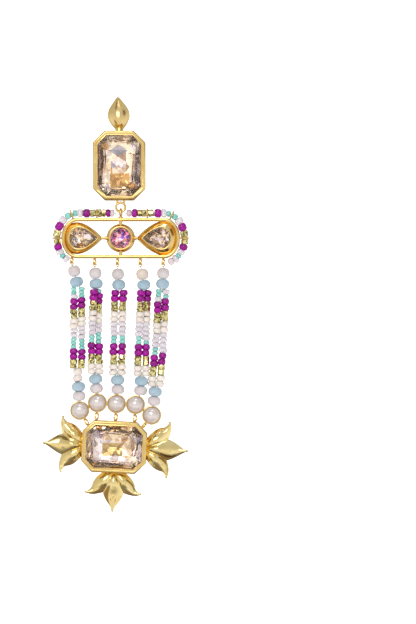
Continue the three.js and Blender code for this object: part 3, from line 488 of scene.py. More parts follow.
def box_setting(width, height, cut, back):
    """The setting round a stone of that width and height, its back at that depth."""
    wall = SETTING_WALL
    bm = octagon_face(width + 2 * wall, height + 2 * wall, cut + wall * CUT_GROWTH)
    bmesh.ops.translate(bm, vec=BACK * back, verts=bm.verts)
    bm.faces.ensure_lookup_table()
    face = bm.faces[0]
    for inward, forward in SETTING_STEPS:
        step(bm, face, inward, forward)
    close_back(bm)
    round_off(bm, level_edges(bm, back), BACK_ROUNDING, 2)
    plate = max(bm.faces, key=lambda f: (f.calc_center_median().y > back - 0.01, f.calc_area()))
    for inward, forward in BACK_STEPS:
        step(bm, plate, inward, forward)
    corners = [
        e for e in bm.edges
        if abs(e.verts[0].co.y - e.verts[1].co.y) > 1 and e.calc_face_angle(0) > 0.6
        and max(v.co.y for v in e.verts) > back - 0.5
    ]
    round_off(bm, corners, CORNER_ROUNDING, 2)
    return bm


print("a setting takes", len(SETTING_STEPS), "steps and is", SETTING_DEPTH, "mm deep")

# %% [markdown]
# Rings and wires are everywhere on an earring. A ring is a small circle spun round an axis, and a wire is
# a cylinder between two points. A ring is made upright, facing the viewer, then turned about the vertical
# and leant.

# %% Rings and wires
def ring(radius, wire_radius, centre, turn=0, lean=0, around=32, section=10):
    """An upright wire ring. turn is its angle from facing the viewer and lean tips it sideways."""
    bm = bmesh.new()
    made = bmesh.ops.create_circle(
        bm, segments=section, radius=wire_radius,
        matrix=Matrix.Translation(ACROSS * radius) @ rotation(90, "X"),
    )
    bmesh.ops.spin(
        bm, geom=made["verts"] + bm.edges[:], cent=(0, 0, 0), axis=UP, angle=2 * math.pi, steps=around,
        use_merge=True,
    )
    turned = rotation(lean, "Y") @ rotation(turn, "Z") @ rotation(90, "X")
    return placed(bm, Matrix.Translation(centre) @ turned)


def wire(start, end, radius, end_radius, sides=14):
    """A straight, tapered wire between two points."""
    bm = bmesh.new()
    along = end - start
    turn = UP.rotation_difference(along.normalized()).to_matrix().to_4x4()
    bmesh.ops.create_cone(
        bm, cap_ends=True, segments=sides, radius1=radius, radius2=end_radius, depth=along.length,
        matrix=Matrix.Translation((start + end) / 2) @ turn,
    )
    return bm


def bead_of_solder(centre, radius, squash):
    """A little blob where two pieces are soldered."""
    bm = bmesh.new()
    bmesh.ops.create_uvsphere(bm, u_segments=16, v_segments=10, radius=radius)
    bmesh.ops.scale(bm, vec=squash, verts=bm.verts)
    return placed(bm, Matrix.Translation(centre))


trial = ring(1, 0.2, Vector((0, 0, 0)))
print("a ring has", len(trial.faces), "faces")
trial.free()

# %% [markdown]
# The bud and the petals are pressed from sheet gold: a flat leaf pushed out into a dome with a faint
# ridge, thin at its edge and hollow behind. A grid is bent to a few chosen cross-sections, smoothed from
# one to the next, and then given the thickness of the sheet.

# %% A pressed leaf
LEAF_STEPS = 30
LEAF_ACROSS = 16
EDGE_FORWARD = 0.14
DOME_POWER = 2.3
PATH_STEP = 0.01
LEAST_WIDTH = 0.02


def blend_rows(rows, key, share):
    """Reads one column of the cross-sections smoothly between its rows."""
    place = share * (len(rows) - 1)
    i = min(int(place), len(rows) - 2)
    t = place - i
    a, b, c, d = (rows[min(max(k, 0), len(rows) - 1)].get(key, 0.0) for k in (i - 1, i, i + 1, i + 2))
    return b + 0.5 * t * (c - a + t * (2 * a - 5 * b + 4 * c - d + t * (3 * (b - c) + d - a)))


def leaf(rows, length, half_width, height, to_place, reach=0.0, ridge=0.15, sheet=0.5):
    """A leaf whose path runs along, and across by its reach. to_place turns a path point into a place."""

    def on_path(share):
        return Vector((blend_rows(rows, "along", share) * length, blend_rows(rows, "across", share) * reach))

    bm = bmesh.new()
    bmesh.ops.create_grid(bm, x_segments=LEAF_STEPS, y_segments=LEAF_ACROSS, size=0.5)
    for vert in bm.verts:
        share, side = vert.co.x + 0.5, 2 * vert.co.y
        way = (on_path(min(share + PATH_STEP, 1.0)) - on_path(max(share - PATH_STEP, 0.0))).normalized()
        middle = on_path(share)
        half = max(blend_rows(rows, "wide", share), LEAST_WIDTH) * half_width * side
        dome = 1 - (1 - ridge) * abs(side) ** DOME_POWER - ridge * abs(side)
        high = blend_rows(rows, "high", share) * height
        lift = blend_rows(rows, "lift", share) * height
        vert.co = to_place(
            middle.x - way.y * half, middle.y + way.x * half,
            lift + high * (EDGE_FORWARD + (1 - EDGE_FORWARD) * dome),
        )
    bmesh.ops.recalc_face_normals(bm, faces=bm.faces)
    if sum(f.normal.y * f.calc_area() for f in bm.faces) > 0:
        bmesh.ops.reverse_faces(bm, faces=bm.faces)
    bmesh.ops.solidify(bm, geom=bm.faces[:], thickness=sheet)
    return bm


print("a leaf is a grid of", LEAF_STEPS, "by", LEAF_ACROSS)

# %% [markdown]
# The upper piece is one soldered casting: the bud in front of the ear lobe, a short neck, the upright
# setting and the ring that the drop swings on, held by two small tabs. The bud is a leaf with its own
# satin finish. The foot of the setting is worn rounder than its other edges, so the points near it are
# spread out a little.

# %% The upper setting with its bud and ring
BUD_BELOW, BUD_ABOVE = 4.05, 5.2
BUD_HALF_WIDTH = 3.1
BUD_HEIGHT = 3.0
BUD_LEAN = -3
BUD_ROWS = [
    {"along": 0.0, "wide": 0.36, "high": 0.6},
    {"along": 0.12, "wide": 0.65, "high": 0.86},
    {"along": 0.25, "wide": 0.88, "high": 0.99},
    {"along": 0.38, "wide": 1.0, "high": 1.0},
    {"along": 0.52, "wide": 0.98, "high": 0.92},
    {"along": 0.65, "wide": 0.83, "high": 0.76},
    {"along": 0.78, "wide": 0.57, "high": 0.54},
    {"along": 0.9, "wide": 0.31, "high": 0.34},
    {"along": 0.96, "wide": 0.17, "high": 0.25},
    {"along": 1.0, "wide": 0.06, "high": 0.16},
]
UPPER_WIDTH, UPPER_HEIGHT, UPPER_CUT = 12.95, 17.8, 2.75
DROP_X = FRAME_CENTRE.x
HANGING_RING, HANGING_WIRE = 1.3, 0.36
NECK_Y, NECK_TOP, NECK_RADII = -1.05, -3.6, (1.0, 1.15)
NECK_SUNK = 0.15
TAB_APART, TAB_REACH, TAB_SUNK, TAB_RADII = 0.975, 0.91, 0.2, (0.33, 0.3)
# The lower edge of the upper setting is rounded off more than the rest.
FOOT_ROUNDING, FOOT_END, FOOT_GROWTH = 0.47, 1.0, 1.8
RING_CENTRE_Z = -26.08

upper_bottom = UPPER_CENTRE.z - UPPER_HEIGHT / 2 - SETTING_WALL
upper_top = UPPER_CENTRE.z + UPPER_HEIGHT / 2 + SETTING_WALL
bud = leaf(
    BUD_ROWS, BUD_ABOVE + BUD_BELOW, BUD_HALF_WIDTH, BUD_HEIGHT,
    lambda along, across, forward: Vector((across, -forward, along - BUD_BELOW)), ridge=0.1, sheet=0.7,
)
lean_about = Vector((0, 0, -BUD_BELOW))
for face in bud.faces:
    face.material_index = 1
placed(bud, Matrix.Translation(lean_about) @ rotation(BUD_LEAN, "Y") @ Matrix.Translation(-lean_about))
upper_box = box_setting(UPPER_WIDTH, UPPER_HEIGHT, UPPER_CUT, 0)
placed(upper_box, Matrix.Translation(UP * UPPER_CENTRE.z))
for vert in [v for v in upper_box.verts if v.co.y < -SETTING_DEPTH / 2]:
    rise, sunk = vert.co.z - upper_bottom, vert.co.y + SETTING_DEPTH
    if rise < FOOT_ROUNDING:
        vert.co.z = upper_bottom + rise * FOOT_GROWTH
        vert.co.y = sunk * FOOT_GROWTH - SETTING_DEPTH
    elif rise < FOOT_END:
        share = (FOOT_END - rise) / (FOOT_END - FOOT_ROUNDING)
        vert.co.z = upper_bottom + FOOT_END - share * (FOOT_END - FOOT_ROUNDING * FOOT_GROWTH)
upper_parts = [
    upper_box,
    bud,
    wire(Vector((0, NECK_Y, NECK_TOP)), Vector((0, NECK_Y, upper_top - NECK_SUNK)), *NECK_RADII, 24),
    ring(HANGING_RING, HANGING_WIRE, Vector((DROP_X, MID_Y, RING_CENTRE_Z)), around=40),
]
for side in (-1, 1):
    x = DROP_X + side * TAB_APART
    tab_top = Vector((x, MID_Y, upper_bottom + TAB_SUNK))
    upper_parts.append(wire(tab_top, Vector((x, MID_Y, RING_CENTRE_Z + TAB_REACH)), *TAB_RADII))
finish_piece(
    "upper_metal", gather(upper_parts), "stud", [GOLD, BUD_GOLD], "polished_gold", ["upper_setting"]
)

# %% [markdown]
# The ear post sits out of sight behind the bud. It is a plain polished pin on a small pad, with the
# groove that a friction nut clicks into. Half of its outline is drawn and spun round the pin's axis.

# %% The ear post
# The pad, the foot of the pin, its groove and its rounded end.
POST_PROFILE = [
    (0.0, 0.0), (1.42, 0.0), (1.5, 0.08), (1.5, 0.32), (1.42, 0.4), (0.62, 0.42), (0.45, 0.6),
    (0.45, 8.55), (0.3, 8.75), (0.28, 8.83), (0.3, 8.91), (0.45, 9.11),
    (0.45, 10.55), (0.4, 10.8), (0.27, 10.96), (0.0, 11.0),
]


def spun(profile, steps, closed=False):
    """Spins a half outline, given as radius and height, round the vertical axis."""
    bm = bmesh.new()
    verts = [bm.verts.new((r, 0, h)) for r, h in profile]
    pairs = list(zip(verts, verts[1:])) + ([(verts[-1], verts[0])] if closed else [])
    edges = [bm.edges.new(pair) for pair in pairs]
    bmesh.ops.spin(
        bm, geom=verts + edges, cent=(0, 0, 0), axis=UP, angle=2 * math.pi, steps=steps, use_merge=True
    )
    bmesh.ops.remove_doubles(bm, verts=bm.verts, dist=MERGE)
    return bm


post = placed(spun(POST_PROFILE, 28), rotation(-90, "X"))
finish_piece("post_pin", post, "stud", [POST_GOLD], "post_gold", ["ear_post"])

# %% [markdown]
# The frame is a racetrack of rounded gold bar. A disc is squeezed to the half ellipse of its ends, its
# two halves are pulled apart, and its rim is kept by insetting the face and taking the middle out.
# Extruding the ring that is left gives the bar, and bevelling its edges rounds it.

# %% The racetrack rim
RIM_WIDTH, RIM_HEIGHT, RIM_END = 33.5, 11.5, 4.6
RIM_WALL, RIM_DEPTH = 1.05, 2.0
RIM_ROUNDING, RIM_CREASE = 0.5, 1.2
STRAIGHT = RIM_WIDTH / 2 - RIM_END
RIM_SIDES = 72
FRAME_Z = FRAME_CENTRE.z


def racetrack_rim():
    bm = bmesh.new()
    half_step = Matrix.Rotation(math.pi / RIM_SIDES, 4, "Z")
    bmesh.ops.create_circle(
        bm, cap_ends=True, segments=RIM_SIDES, radius=1,
        matrix=rotation(90, "X") @ half_step,
    )
    bmesh.ops.scale(bm, vec=(RIM_END, 1, RIM_HEIGHT / 2), verts=bm.verts)
    for side in (-1, 1):
        half = [v for v in bm.verts if v.co.x * side > 0]
        bmesh.ops.translate(bm, vec=ACROSS * side * STRAIGHT, verts=half)
    bm.faces.ensure_lookup_table()
    inner = bm.faces[0]
    step(bm, inner, RIM_WALL, 0)
    bmesh.ops.delete(bm, geom=[inner], context="FACES_ONLY")
    made = bmesh.ops.extrude_face_region(bm, geom=bm.faces[:])
    raised = [item for item in made["geom"] if isinstance(item, bmesh.types.BMVert)]
    bmesh.ops.translate(bm, vec=BACK * -RIM_DEPTH, verts=raised)
    bmesh.ops.translate(bm, vec=BACK * (MID_Y + RIM_DEPTH / 2), verts=bm.verts)
    bmesh.ops.recalc_face_normals(bm, faces=bm.faces)
    round_off(bm, [e for e in bm.edges if e.calc_face_angle(0) > RIM_CREASE], RIM_ROUNDING, 6)
    return bm


print("rim", RIM_WIDTH, "by", RIM_HEIGHT, "mm, straight for", 2 * STRAIGHT)

# %% [markdown]
# The pear and round stones sit in collars: gold cones that rise from the rim to a thin lip round the
# stone. Each is grown from one outline. The face is extruded, scaled about the stone's centre and moved,
# over and over.

# %% Collars
PEAR_LENGTH, PEAR_WIDTH = 8.0, 6.0
PEAR_FULLNESS = 0.7698
ROUND_RADIUS = 3.0
COLLAR_DEPTH = 2.5
COLLAR_BACK = MID_Y + COLLAR_DEPTH / 2
OUTLINE_SIDES = 64
SMALL_GIRDLE, SMALL_PAVILION = 0.15, 1.35


def round_face(length, width, point_way):
    """A disc facing the viewer. With a point way of 1 or -1 it is a teardrop whose point looks that way."""
    bm = bmesh.new()
    bmesh.ops.create_circle(
        bm, cap_ends=True, segments=OUTLINE_SIDES, radius=1, matrix=rotation(90, "X")
    )
    for vert in bm.verts:
        angle = math.atan2(vert.co.z, vert.co.x) % (2 * math.pi)
        if point_way:
            vert.co.z *= math.sin(angle / 2) / PEAR_FULLNESS
            vert.co.x *= point_way
    bmesh.ops.scale(bm, vec=(length / 2, 1, width / 2), verts=bm.verts)
    bmesh.ops.recalc_face_normals(bm, faces=bm.faces)
    bm.faces.ensure_lookup_table()
    if bm.faces[0].normal.y > 0:
        bmesh.ops.reverse_faces(bm, faces=bm.faces)
    return bm


def grown_steps(bm, length, width, steps):
    """Extrudes the face through steps, each a growth of the outline and a depth y."""
    bm.faces.ensure_lookup_table()
    face = bm.faces[0]
    grown, y = steps[0]
    bmesh.ops.scale(bm, vec=(1 + 2 * grown / length, 1, 1 + 2 * grown / width), verts=bm.verts)
    bmesh.ops.translate(bm, vec=BACK * y, verts=bm.verts)
    for next_grown, next_y in steps[1:]:
        bmesh.ops.inset_individual(bm, faces=[face], thickness=0, depth=y - next_y)
        ratio = [(side + 2 * next_grown) / (side + 2 * grown) for side in (length, width)]
        bmesh.ops.scale(bm, vec=(ratio[0], 1, ratio[1]), verts=face.verts)
        grown, y = next_grown, next_y
    close_back(bm)
    return bm


def collar(length, width, room, point_way):
    """The setting of a small stone: room is how far its foot stands out past the stone."""
    front = COLLAR_BACK - COLLAR_DEPTH
    seat = front + LIP_HEIGHT
    slope = [
        (0.35 + (room - 0.35) * out, COLLAR_BACK - 0.85 - (COLLAR_DEPTH - 1.0) * up)
        for out, up in ((1.0, 0.0), (0.9, 0.22), (0.68, 0.5), (0.4, 0.76), (0.14, 0.92))
    ]
    steps = [
        (room - 0.85, COLLAR_BACK - 0.12), (room - 0.75, COLLAR_BACK), (room - 0.22, COLLAR_BACK),
        (room - 0.06, COLLAR_BACK - 0.06), (room, COLLAR_BACK - 0.22), *slope,
        (0.36, front + 0.06), (0.24, front), (0.1, front), (-0.02, front + 0.05),
        (-LIP_OVERLAP, front + 0.17), (-LIP_OVERLAP, seat - 0.2),
        (STONE_GAP, seat - 0.06), (STONE_GAP, seat + SMALL_GIRDLE + STONE_GAP),
        (-0.97, seat + SMALL_GIRDLE + SMALL_PAVILION + STONE_GAP),
    ]
    return grown_steps(round_face(length, width, point_way), length, width, steps)


print("pears", PEAR_LENGTH, "by", PEAR_WIDTH, "mm, round stone", 2 * ROUND_RADIUS, "mm")

# %% [markdown]
# The frame is soldered from many small pieces: the rim, three collars, the bars that hold them, the loop
# that hangs in the ring above, six carriers for the string of seeds and five eyelets for the strands.
# Each is a ring, a wire or a blob of solder. They sink into each other a little, as soldered joints do,
# so no gap shows.

# %% Places on the frame
LEFT_COLLAR, RIGHT_COLLAR, ROUND_COLLAR = 1.5, 1.85, 1.05
LEFT_PEAR, RIGHT_PEAR = middle_of("left_pear_stone"), middle_of("right_pear_stone")
FRAME_LOOP, LOOP_WIRE = 0.98, 0.36
LOOP_CENTRE_Z = -27.60
RIM_TOP = FRAME_Z + RIM_HEIGHT / 2
CARRIER_RADIUS, CARRIER_WIRE = 1.12, 0.24
EDGE_OFFSET = 1.3
CARRIERS = [(180, None), (107, None), (90, -6.7), (90, 7.5), (67, None), (0, None)]
STRANDS = range(1, 6)
EYELET_RADIUS, EYELET_WIRE, EYELET_TURN = 0.75, 0.25, 65
EYELET_PITCH, EYELET_SHIFT = 6.45, -0.9
SOLDER = 0.12
SOLDER_BLOB = 0.55
STEM_RADII, SIDE_BAR_RADII, UPRIGHT_BAR_RADII = (0.34, 0.5), (0.4, 0.42), (0.55, 0.45)
STEM_SUNK, BAR_SUNK, RIM_SUNK, TIP_SUNK = 0.2, 0.3, 0.4, 0.5


def edge_place(angle, across=None):
    """A point of the bead string round the frame: by its angle on an end, or its place along the top."""
    if across is not None:
        return Vector((DROP_X + across, MID_Y, RIM_TOP + EDGE_OFFSET))
    turn = math.radians(angle)
    side = -1 if math.cos(turn) < 0 else 1
    x = DROP_X + side * STRAIGHT + (RIM_END + EDGE_OFFSET) * math.cos(turn)
    return Vector((x, MID_Y, FRAME_Z + (RIM_HEIGHT / 2 + EDGE_OFFSET) * math.sin(turn)))


def away_from_rim(angle, across):
    if across is not None:
        return UP.copy()
    turn = math.radians(angle)
    return Vector((
        math.cos(turn) / (RIM_END + EDGE_OFFSET), 0, math.sin(turn) / (RIM_HEIGHT / 2 + EDGE_OFFSET)
    )).normalized()


def rim_bottom(x):
    beyond = max(abs(x) - STRAIGHT, 0) / RIM_END
    return FRAME_Z - RIM_HEIGHT / 2 * math.sqrt(1 - min(beyond, 1) ** 2)


def eyelet_centre(n):
    x = EYELET_SHIFT + (n - 3) * EYELET_PITCH
    return Vector((DROP_X + x, MID_Y, rim_bottom(x) - EYELET_RADIUS - EYELET_WIRE + SOLDER))


def at_frame(x, z):
    return Vector((DROP_X + x, MID_Y, FRAME_Z + z))


print("eyelets at", [round(eyelet_centre(n).x, 2) for n in STRANDS])

# %% [markdown]
# With the places known, the pieces are made one after another and gathered. The upright bars are heavier
# than the side bars, and a flat blob of solder lies where the loop's stem meets the rim.

# %% The frame's metal
frame_parts = [placed(racetrack_rim(), Matrix.Translation((DROP_X, 0, FRAME_Z)))]
for x, length, width, room, point_way in (
    (LEFT_PEAR.x, PEAR_LENGTH, PEAR_WIDTH, LEFT_COLLAR, 1),
    (RIGHT_PEAR.x, PEAR_LENGTH, PEAR_WIDTH, RIGHT_COLLAR, -1),
    (DROP_X, 2 * ROUND_RADIUS, 2 * ROUND_RADIUS, ROUND_COLLAR, 0),
):
    frame_parts.append(placed(collar(length, width, room, point_way), Matrix.Translation((x, 0, FRAME_Z))))
loop_centre = Vector((DROP_X, MID_Y, LOOP_CENTRE_Z))
loop_foot = Vector((DROP_X, MID_Y, LOOP_CENTRE_Z - FRAME_LOOP))
frame_parts += [
    ring(FRAME_LOOP, LOOP_WIRE, loop_centre, turn=90),
    wire(loop_foot, Vector((DROP_X, MID_Y, RIM_TOP - STEM_SUNK)), *STEM_RADII),
    bead_of_solder(Vector((DROP_X, MID_Y, RIM_TOP)), SOLDER_BLOB, (1.4, 1, 0.5)),
]
round_edge = ROUND_RADIUS + ROUND_COLLAR
for side, pear, room in ((-1, LEFT_PEAR, LEFT_COLLAR), (1, RIGHT_PEAR, RIGHT_COLLAR)):
    tip = pear.x - DROP_X - side * (PEAR_LENGTH / 2 + room - TIP_SUNK)
    frame_parts.append(wire(at_frame(side * (round_edge - BAR_SUNK), 0), at_frame(tip, 0), *SIDE_BAR_RADII))
    frame_parts.append(bead_of_solder(at_frame(side * (round_edge + 0.2), 0), SOLDER_BLOB, (0.8, 1, 1)))
for side in (-1, 1):
    bar_foot = at_frame(0, side * (round_edge - BAR_SUNK))
    frame_parts.append(wire(bar_foot, at_frame(0, side * (RIM_HEIGHT / 2 - RIM_SUNK)), *UPRIGHT_BAR_RADII))
for angle, across in CARRIERS:
    away = away_from_rim(angle, across)
    sink = EDGE_OFFSET - (CARRIER_RADIUS + CARRIER_WIRE - SOLDER)
    centre = edge_place(angle, across) - away * sink
    lean = math.degrees(math.atan2(away.x, away.z))
    frame_parts.append(ring(CARRIER_RADIUS, CARRIER_WIRE, centre, 90, lean, 24, 8))
for n in STRANDS:
    frame_parts.append(ring(EYELET_RADIUS, EYELET_WIRE, eyelet_centre(n), EYELET_TURN, 0, 24, 8))
finish_piece("frame_metal", gather(frame_parts), "drop", [GOLD], "polished_gold", ["frame"])

# %% [markdown]
# A cut stone is made as a lapidary makes it. A block with the stone's outline is ground by one flat plane
# after another: the facets of the crown in front, and those of the pavilion behind. Each cut is a
# bisection that throws the outer part away, and the new edge loop is filled with the facet. The order
# doesn't matter, only the planes.

# %% Cutting a stone
def cut_facet(block, point, way):
    """Grinds one flat facet, given by a point on it and the way that it faces."""
    made = bmesh.ops.bisect_plane(
        block, geom=block.verts[:] + block.edges[:] + block.faces[:], dist=MERGE, plane_co=point,
        plane_no=way, clear_outer=True,
    )
    rim = [item for item in made["geom_cut"] if isinstance(item, bmesh.types.BMEdge)]
    if len(rim) > 2:
        bmesh.ops.edgeloop_fill(block, edges=rim)


def facet(outline, azimuth, tilt, inset, depth, side):
    """A facet plane: azimuth round the stone and tilt from the table. side is -1 for the crown and 1 for the
    pavilion. It passes through the point that lies inset from the outline's edge, at that depth."""
    turn, lean = math.radians(azimuth), math.radians(tilt)
    across = Vector((math.cos(turn), 0, math.sin(turn)))
    reach = max(across.dot(p) for p in outline)
    way = across * math.sin(lean) + BACK * side * math.cos(lean)
    return across * (reach - inset) + BACK * depth, way


def facet_rows(rows, girdle, side, play, chance):
    """Rows of azimuths, tilt and the inset where the row begins: each begins on the row before it."""
    placed_rows = []
    high, last_inset, slope = 0.0, 0.0, 0.0
    for azimuths, tilt, inset in rows:
        high += (inset - last_inset) * slope
        last_inset, slope = inset, math.tan(math.radians(tilt))
        for azimuth in azimuths:
            tipped = tilt + chance.uniform(-play, play)
            placed_rows.append((azimuth, tipped, inset, girdle + side * high, side))
    return placed_rows


def cut_stone(face_bm, front, girdle_front, girdle_back, back, crown, pavilion, play, seed):
    """A block ground into a crown and a pavilion. The depths run from front to back, and play, in degrees,
    tips each facet of the pavilion by chance."""
    chance = random.Random(seed)
    outline = [v.co.copy() for v in face_bm.verts]
    bmesh.ops.translate(face_bm, vec=BACK * back, verts=face_bm.verts)
    face_bm.faces.ensure_lookup_table()
    step(face_bm, face_bm.faces[0], 0, back - front)
    close_back(face_bm)
    rows = facet_rows(crown, girdle_front, -1, 0.0, chance)
    rows += facet_rows(pavilion, girdle_back, 1, play, chance)
    for row in rows:
        cut_facet(face_bm, *facet(outline, *row))
    bmesh.ops.dissolve_limit(
        face_bm, angle_limit=math.radians(0.4), verts=face_bm.verts[:], edges=face_bm.edges[:]
    )
    return face_bm


def round_azimuths(count, start=0.0):
    return [start + i * 360 / count for i in range(count)]


print("four ways round a stone", round_azimuths(4))

# %% [markdown]
# Crystal stones for jewellery are foiled: the pavilion is silvered like a mirror, so that light comes
# back out of the front. The crown is clear, tinted glass, and the foil is a mirror whose facets each get
# their own painted reflection: a colour in the foil that stands for what each facet of a real stone
# mirrors. The painted colour is kept in an attribute of the corners.

# %% Crystal finishes
def clear_glass(name, colour):
    glass = new_look(name, {
        "Base Color": (*colour, 1), "Transmission Weight": 1.0, "IOR": 1.52, "Roughness": 0.01,
    })
    bumps(glass, [(noise(glass, 900, 1), 0.02, 0.01)])
    return glass


def vector_math(material, operation, *values):
    """A sum on vectors, each of them a socket or a plain vector."""
    made = new_node(material, "ShaderNodeVectorMath")
    made.operation = operation
    for i, value in enumerate(values):
        if isinstance(value, bpy.types.NodeSocket):
            join(material, value, made, i)
        else:
            made.inputs[i].default_value = value
    return made.outputs["Vector"]


def foil(name, cell, lean, depth):
    """A silvered back. Each facet has its own painted reflection colour in an attribute, and small cells, so
    many to a metre, break it up as fine cut facets do: each leans its own way by lean, and is darkened by up
    to depth, which is painted shade."""
    mirror = new_look(name, {"Metallic": 0.8, "Roughness": 0.05})
    # The facet colour read here is a painted reflection, not a colour of the foil itself.
    own = new_node(mirror, "ShaderNodeAttribute")
    own.attribute_name = "painted_facet_reflection"
    place = new_node(mirror, "ShaderNodeTexCoord")
    cells = new_node(mirror, "ShaderNodeTexVoronoi", Scale=cell)
    join(mirror, place.outputs["Object"], cells, "Vector")
    share = new_node(mirror, "ShaderNodeSeparateColor")
    join(mirror, cells.outputs["Color"], share, "Color")
    # Painted shade: by chance each cell is darkened in the foil's colour, standing for fine facets that
    # mirror darker places.
    dark = tuple(1 - depth * drop for drop in (0.85, 1.0, 1.1))
    half = tuple(1 - depth * drop for drop in (0.25, 0.4, 0.5))
    shades_of_cells = tint(mirror, share.outputs["Red"], [
        (0.08, dark), (0.35, half), (0.6, (1.0, 0.98, 0.96)), (0.9, (1.0, 1.0, 1.0)),
    ])
    colour = multiplied(mirror, own.outputs["Color"], shades_of_cells)
    join(mirror, colour, shader_of(mirror), "Base Color")
    facing = new_node(mirror, "ShaderNodeNewGeometry").outputs["Normal"]
    centred = vector_math(mirror, "SUBTRACT", cells.outputs["Color"], (0.5, 0.5, 0.5))
    leaning = vector_math(mirror, "MULTIPLY_ADD", centred, (lean, lean, lean), facing)
    join(mirror, vector_math(mirror, "NORMALIZE", leaning), shader_of(mirror), "Normal")
    return mirror


CHAMPAGNE_GLASS = clear_glass("champagne_glass", (0.955, 0.885, 0.765))
SMOKY_GLASS = clear_glass("smoky_glass", (0.98, 0.92, 0.83))
PINK_GLASS = clear_glass("pink_glass", (1.0, 0.86, 0.94))
FOIL = foil("facet_foil", 640, 0.17, 0.38)
FINE_FOIL = foil("fine_foil", 1350, 0.36, 0.5)
print("crystal finishes", CHAMPAGNE_GLASS.name, SMOKY_GLASS.name, PINK_GLASS.name, FOIL.name, FINE_FOIL.name)

# %% [markdown]
# The reflections in a foiled stone come in patches, and the large ones are painted in place: a dark band
# below the middle, a pale block above it. Such a zone of painted reflection is a block or a diamond, given
# in shares of the stone's half width and height. The foil is cut along the zone's sides, so that the
# painted patch keeps straight edges, as a reflection in a facet has. Outside the zones, each facet draws
# its painted reflection colour from a palette by seeded chance.

# %% Painted reflections for the facets
# Colours of the painted reflections in the foil.
WHITE, PEACH, CHAMPAGNE = (0.95, 0.93, 0.91), (0.94, 0.83, 0.72), (0.8, 0.67, 0.52)
LAVENDER, HONEY, UMBER, SLATE = (0.82, 0.79, 0.93), (0.6, 0.37, 0.15), (0.46, 0.32, 0.24), (0.4, 0.39, 0.5)
ROSE, CORAL, VIOLET, BLUE = (0.95, 0.42, 0.68), (1.0, 0.5, 0.48), (0.42, 0.12, 0.42), (0.25, 0.15, 0.85)
# The steep facets at the rim get these pale colours as painted light.
PALE_RIM_PAINTED_LIGHT = [(WHITE, 3), (PEACH, 6), (LAVENDER, 1), (CHAMPAGNE, 3)]
STEEP = 0.86
ZONE_EDGE = 0.01


def box_of(places):
    """The centre and the half size of a box round some places."""
    low, high = (Vector(map(pick, zip(*places))) for pick in (min, max))
    return (high + low) / 2, (high - low) / 2


def zone_share(place, centre, half):
    """A place as shares of the stone's half width and half height."""
    return (place.x - centre.x) / half.x, (place.z - centre.z) / half.z


def in_zone(place, centre, half, zone):
    """A zone is left, right, bottom, top, its colour, and whether it is a diamond and not a block."""
    u, v = zone_share(place, centre, half)
    across = abs(2 * u - zone[0] - zone[1]) / (zone[1] - zone[0])
    up = abs(2 * v - zone[2] - zone[3]) / (zone[3] - zone[2])
    return across + up < 1 if zone[5] else max(across, up) < 1


def touches_zone(face, centre, half, zone):
    shares = [zone_share(v.co, centre, half) for v in face.verts]
    (low_u, low_v), (high_u, high_v) = (map(f, zip(*shares)) for f in (min, max))
    across = low_u < zone[1] - ZONE_EDGE and high_u > zone[0] + ZONE_EDGE
    return across and low_v < zone[3] - ZONE_EDGE and high_v > zone[2] + ZONE_EDGE


def zone_cuts(centre, half, zone):
    """Planes along a zone's sides: a block is also cut corner to corner."""
    left, right, bottom, top = zone[:4]
    corners = [(left, bottom), (right, bottom), (right, top), (left, top)]
    if zone[5]:
        u, v = (left + right) / 2, (bottom + top) / 2
        corners = [(left, v), (u, bottom), (right, v), (u, top)]
    places = [centre + ACROSS * u * half.x + UP * v * half.z for u, v in corners]
    lines = list(zip(places, places[1:] + places[:1]))
    if not zone[5]:
        lines += [(places[0], places[2]), (places[1], places[3])]
    return [(a, (b - a).cross(BACK).normalized()) for a, b in lines]


print("tints at the rim of a stone", len(PALE_RIM_PAINTED_LIGHT))

# %% [markdown]
# The painted reflection colour is stored at the corners of the faces, because an attribute of corners can
# jump from one facet to the next. A stone carries two finishes at once: clear glass on the faces that look
# forward, foil on those behind. It is left flat shaded, since a facet is flat and its edges are crisp.

# %% Finishing a stone
def paint_facet_reflections(piece, palette, zones, seed):
    """Paints a reflection on each facet: a colour of the palette, a list of colours and how common each is.
    The steep facets at the rim are painted pale: painted light, standing for the light they send on to
    others. A zone has a painted reflection colour of its own."""
    chance = random.Random(seed)
    centre, half = box_of([v.co for v in piece.data.vertices])
    store = piece.data.attributes.new("painted_facet_reflection", "FLOAT_COLOR", "CORNER")
    for face in piece.data.polygons:
        # Painted reflection: each facet's colour and its brightness by chance stand for what that facet
        # mirrors.
        colours, weights = zip(*(PALE_RIM_PAINTED_LIGHT if face.normal.y < STEEP else palette))
        picked = chance.choices(colours, weights)[0]
        shade = chance.uniform(0.92, 1.04)
        for zone in zones:
            if in_zone(face.center, centre, half, zone):
                picked = zone[4]
                shade = chance.uniform(0.62, 1.15)
        for corner in face.loop_indices:
            store.data[corner].color = (*(min(c * shade, 1.0) for c in picked), 1.0)


def finish_stone(name, bm, glass, slot, node, palette, zones, seed):
    """The stone's front facets are glass, and those that look back carry the foil."""
    bmesh.ops.recalc_face_normals(bm, faces=bm.faces)
    for face in bm.faces:
        face.material_index = int(face.normal.y > -0.2)
    centre, half = box_of([v.co for v in bm.verts])
    for zone in zones:
        for point, way in zone_cuts(centre, half, zone):
            near = [f for f in bm.faces if f.material_index and touches_zone(f, centre, half, zone)]
            bmesh.ops.bisect_plane(
                bm, geom=[*near, *{e for f in near for e in f.edges}, *{v for f in near for v in f.verts}],
                dist=MERGE, plane_co=point, plane_no=way,
            )
    body = "stud" if node == "upper_stone" else "drop"
    back = FOIL if slot == "champagne_crystal" else FINE_FOIL
    piece = finish_piece(name, bm, body, [glass, back], slot, [node], crisp=0)
    paint_facet_reflections(piece, palette, zones, seed)
    print(name, "has", len(zones), "zones")



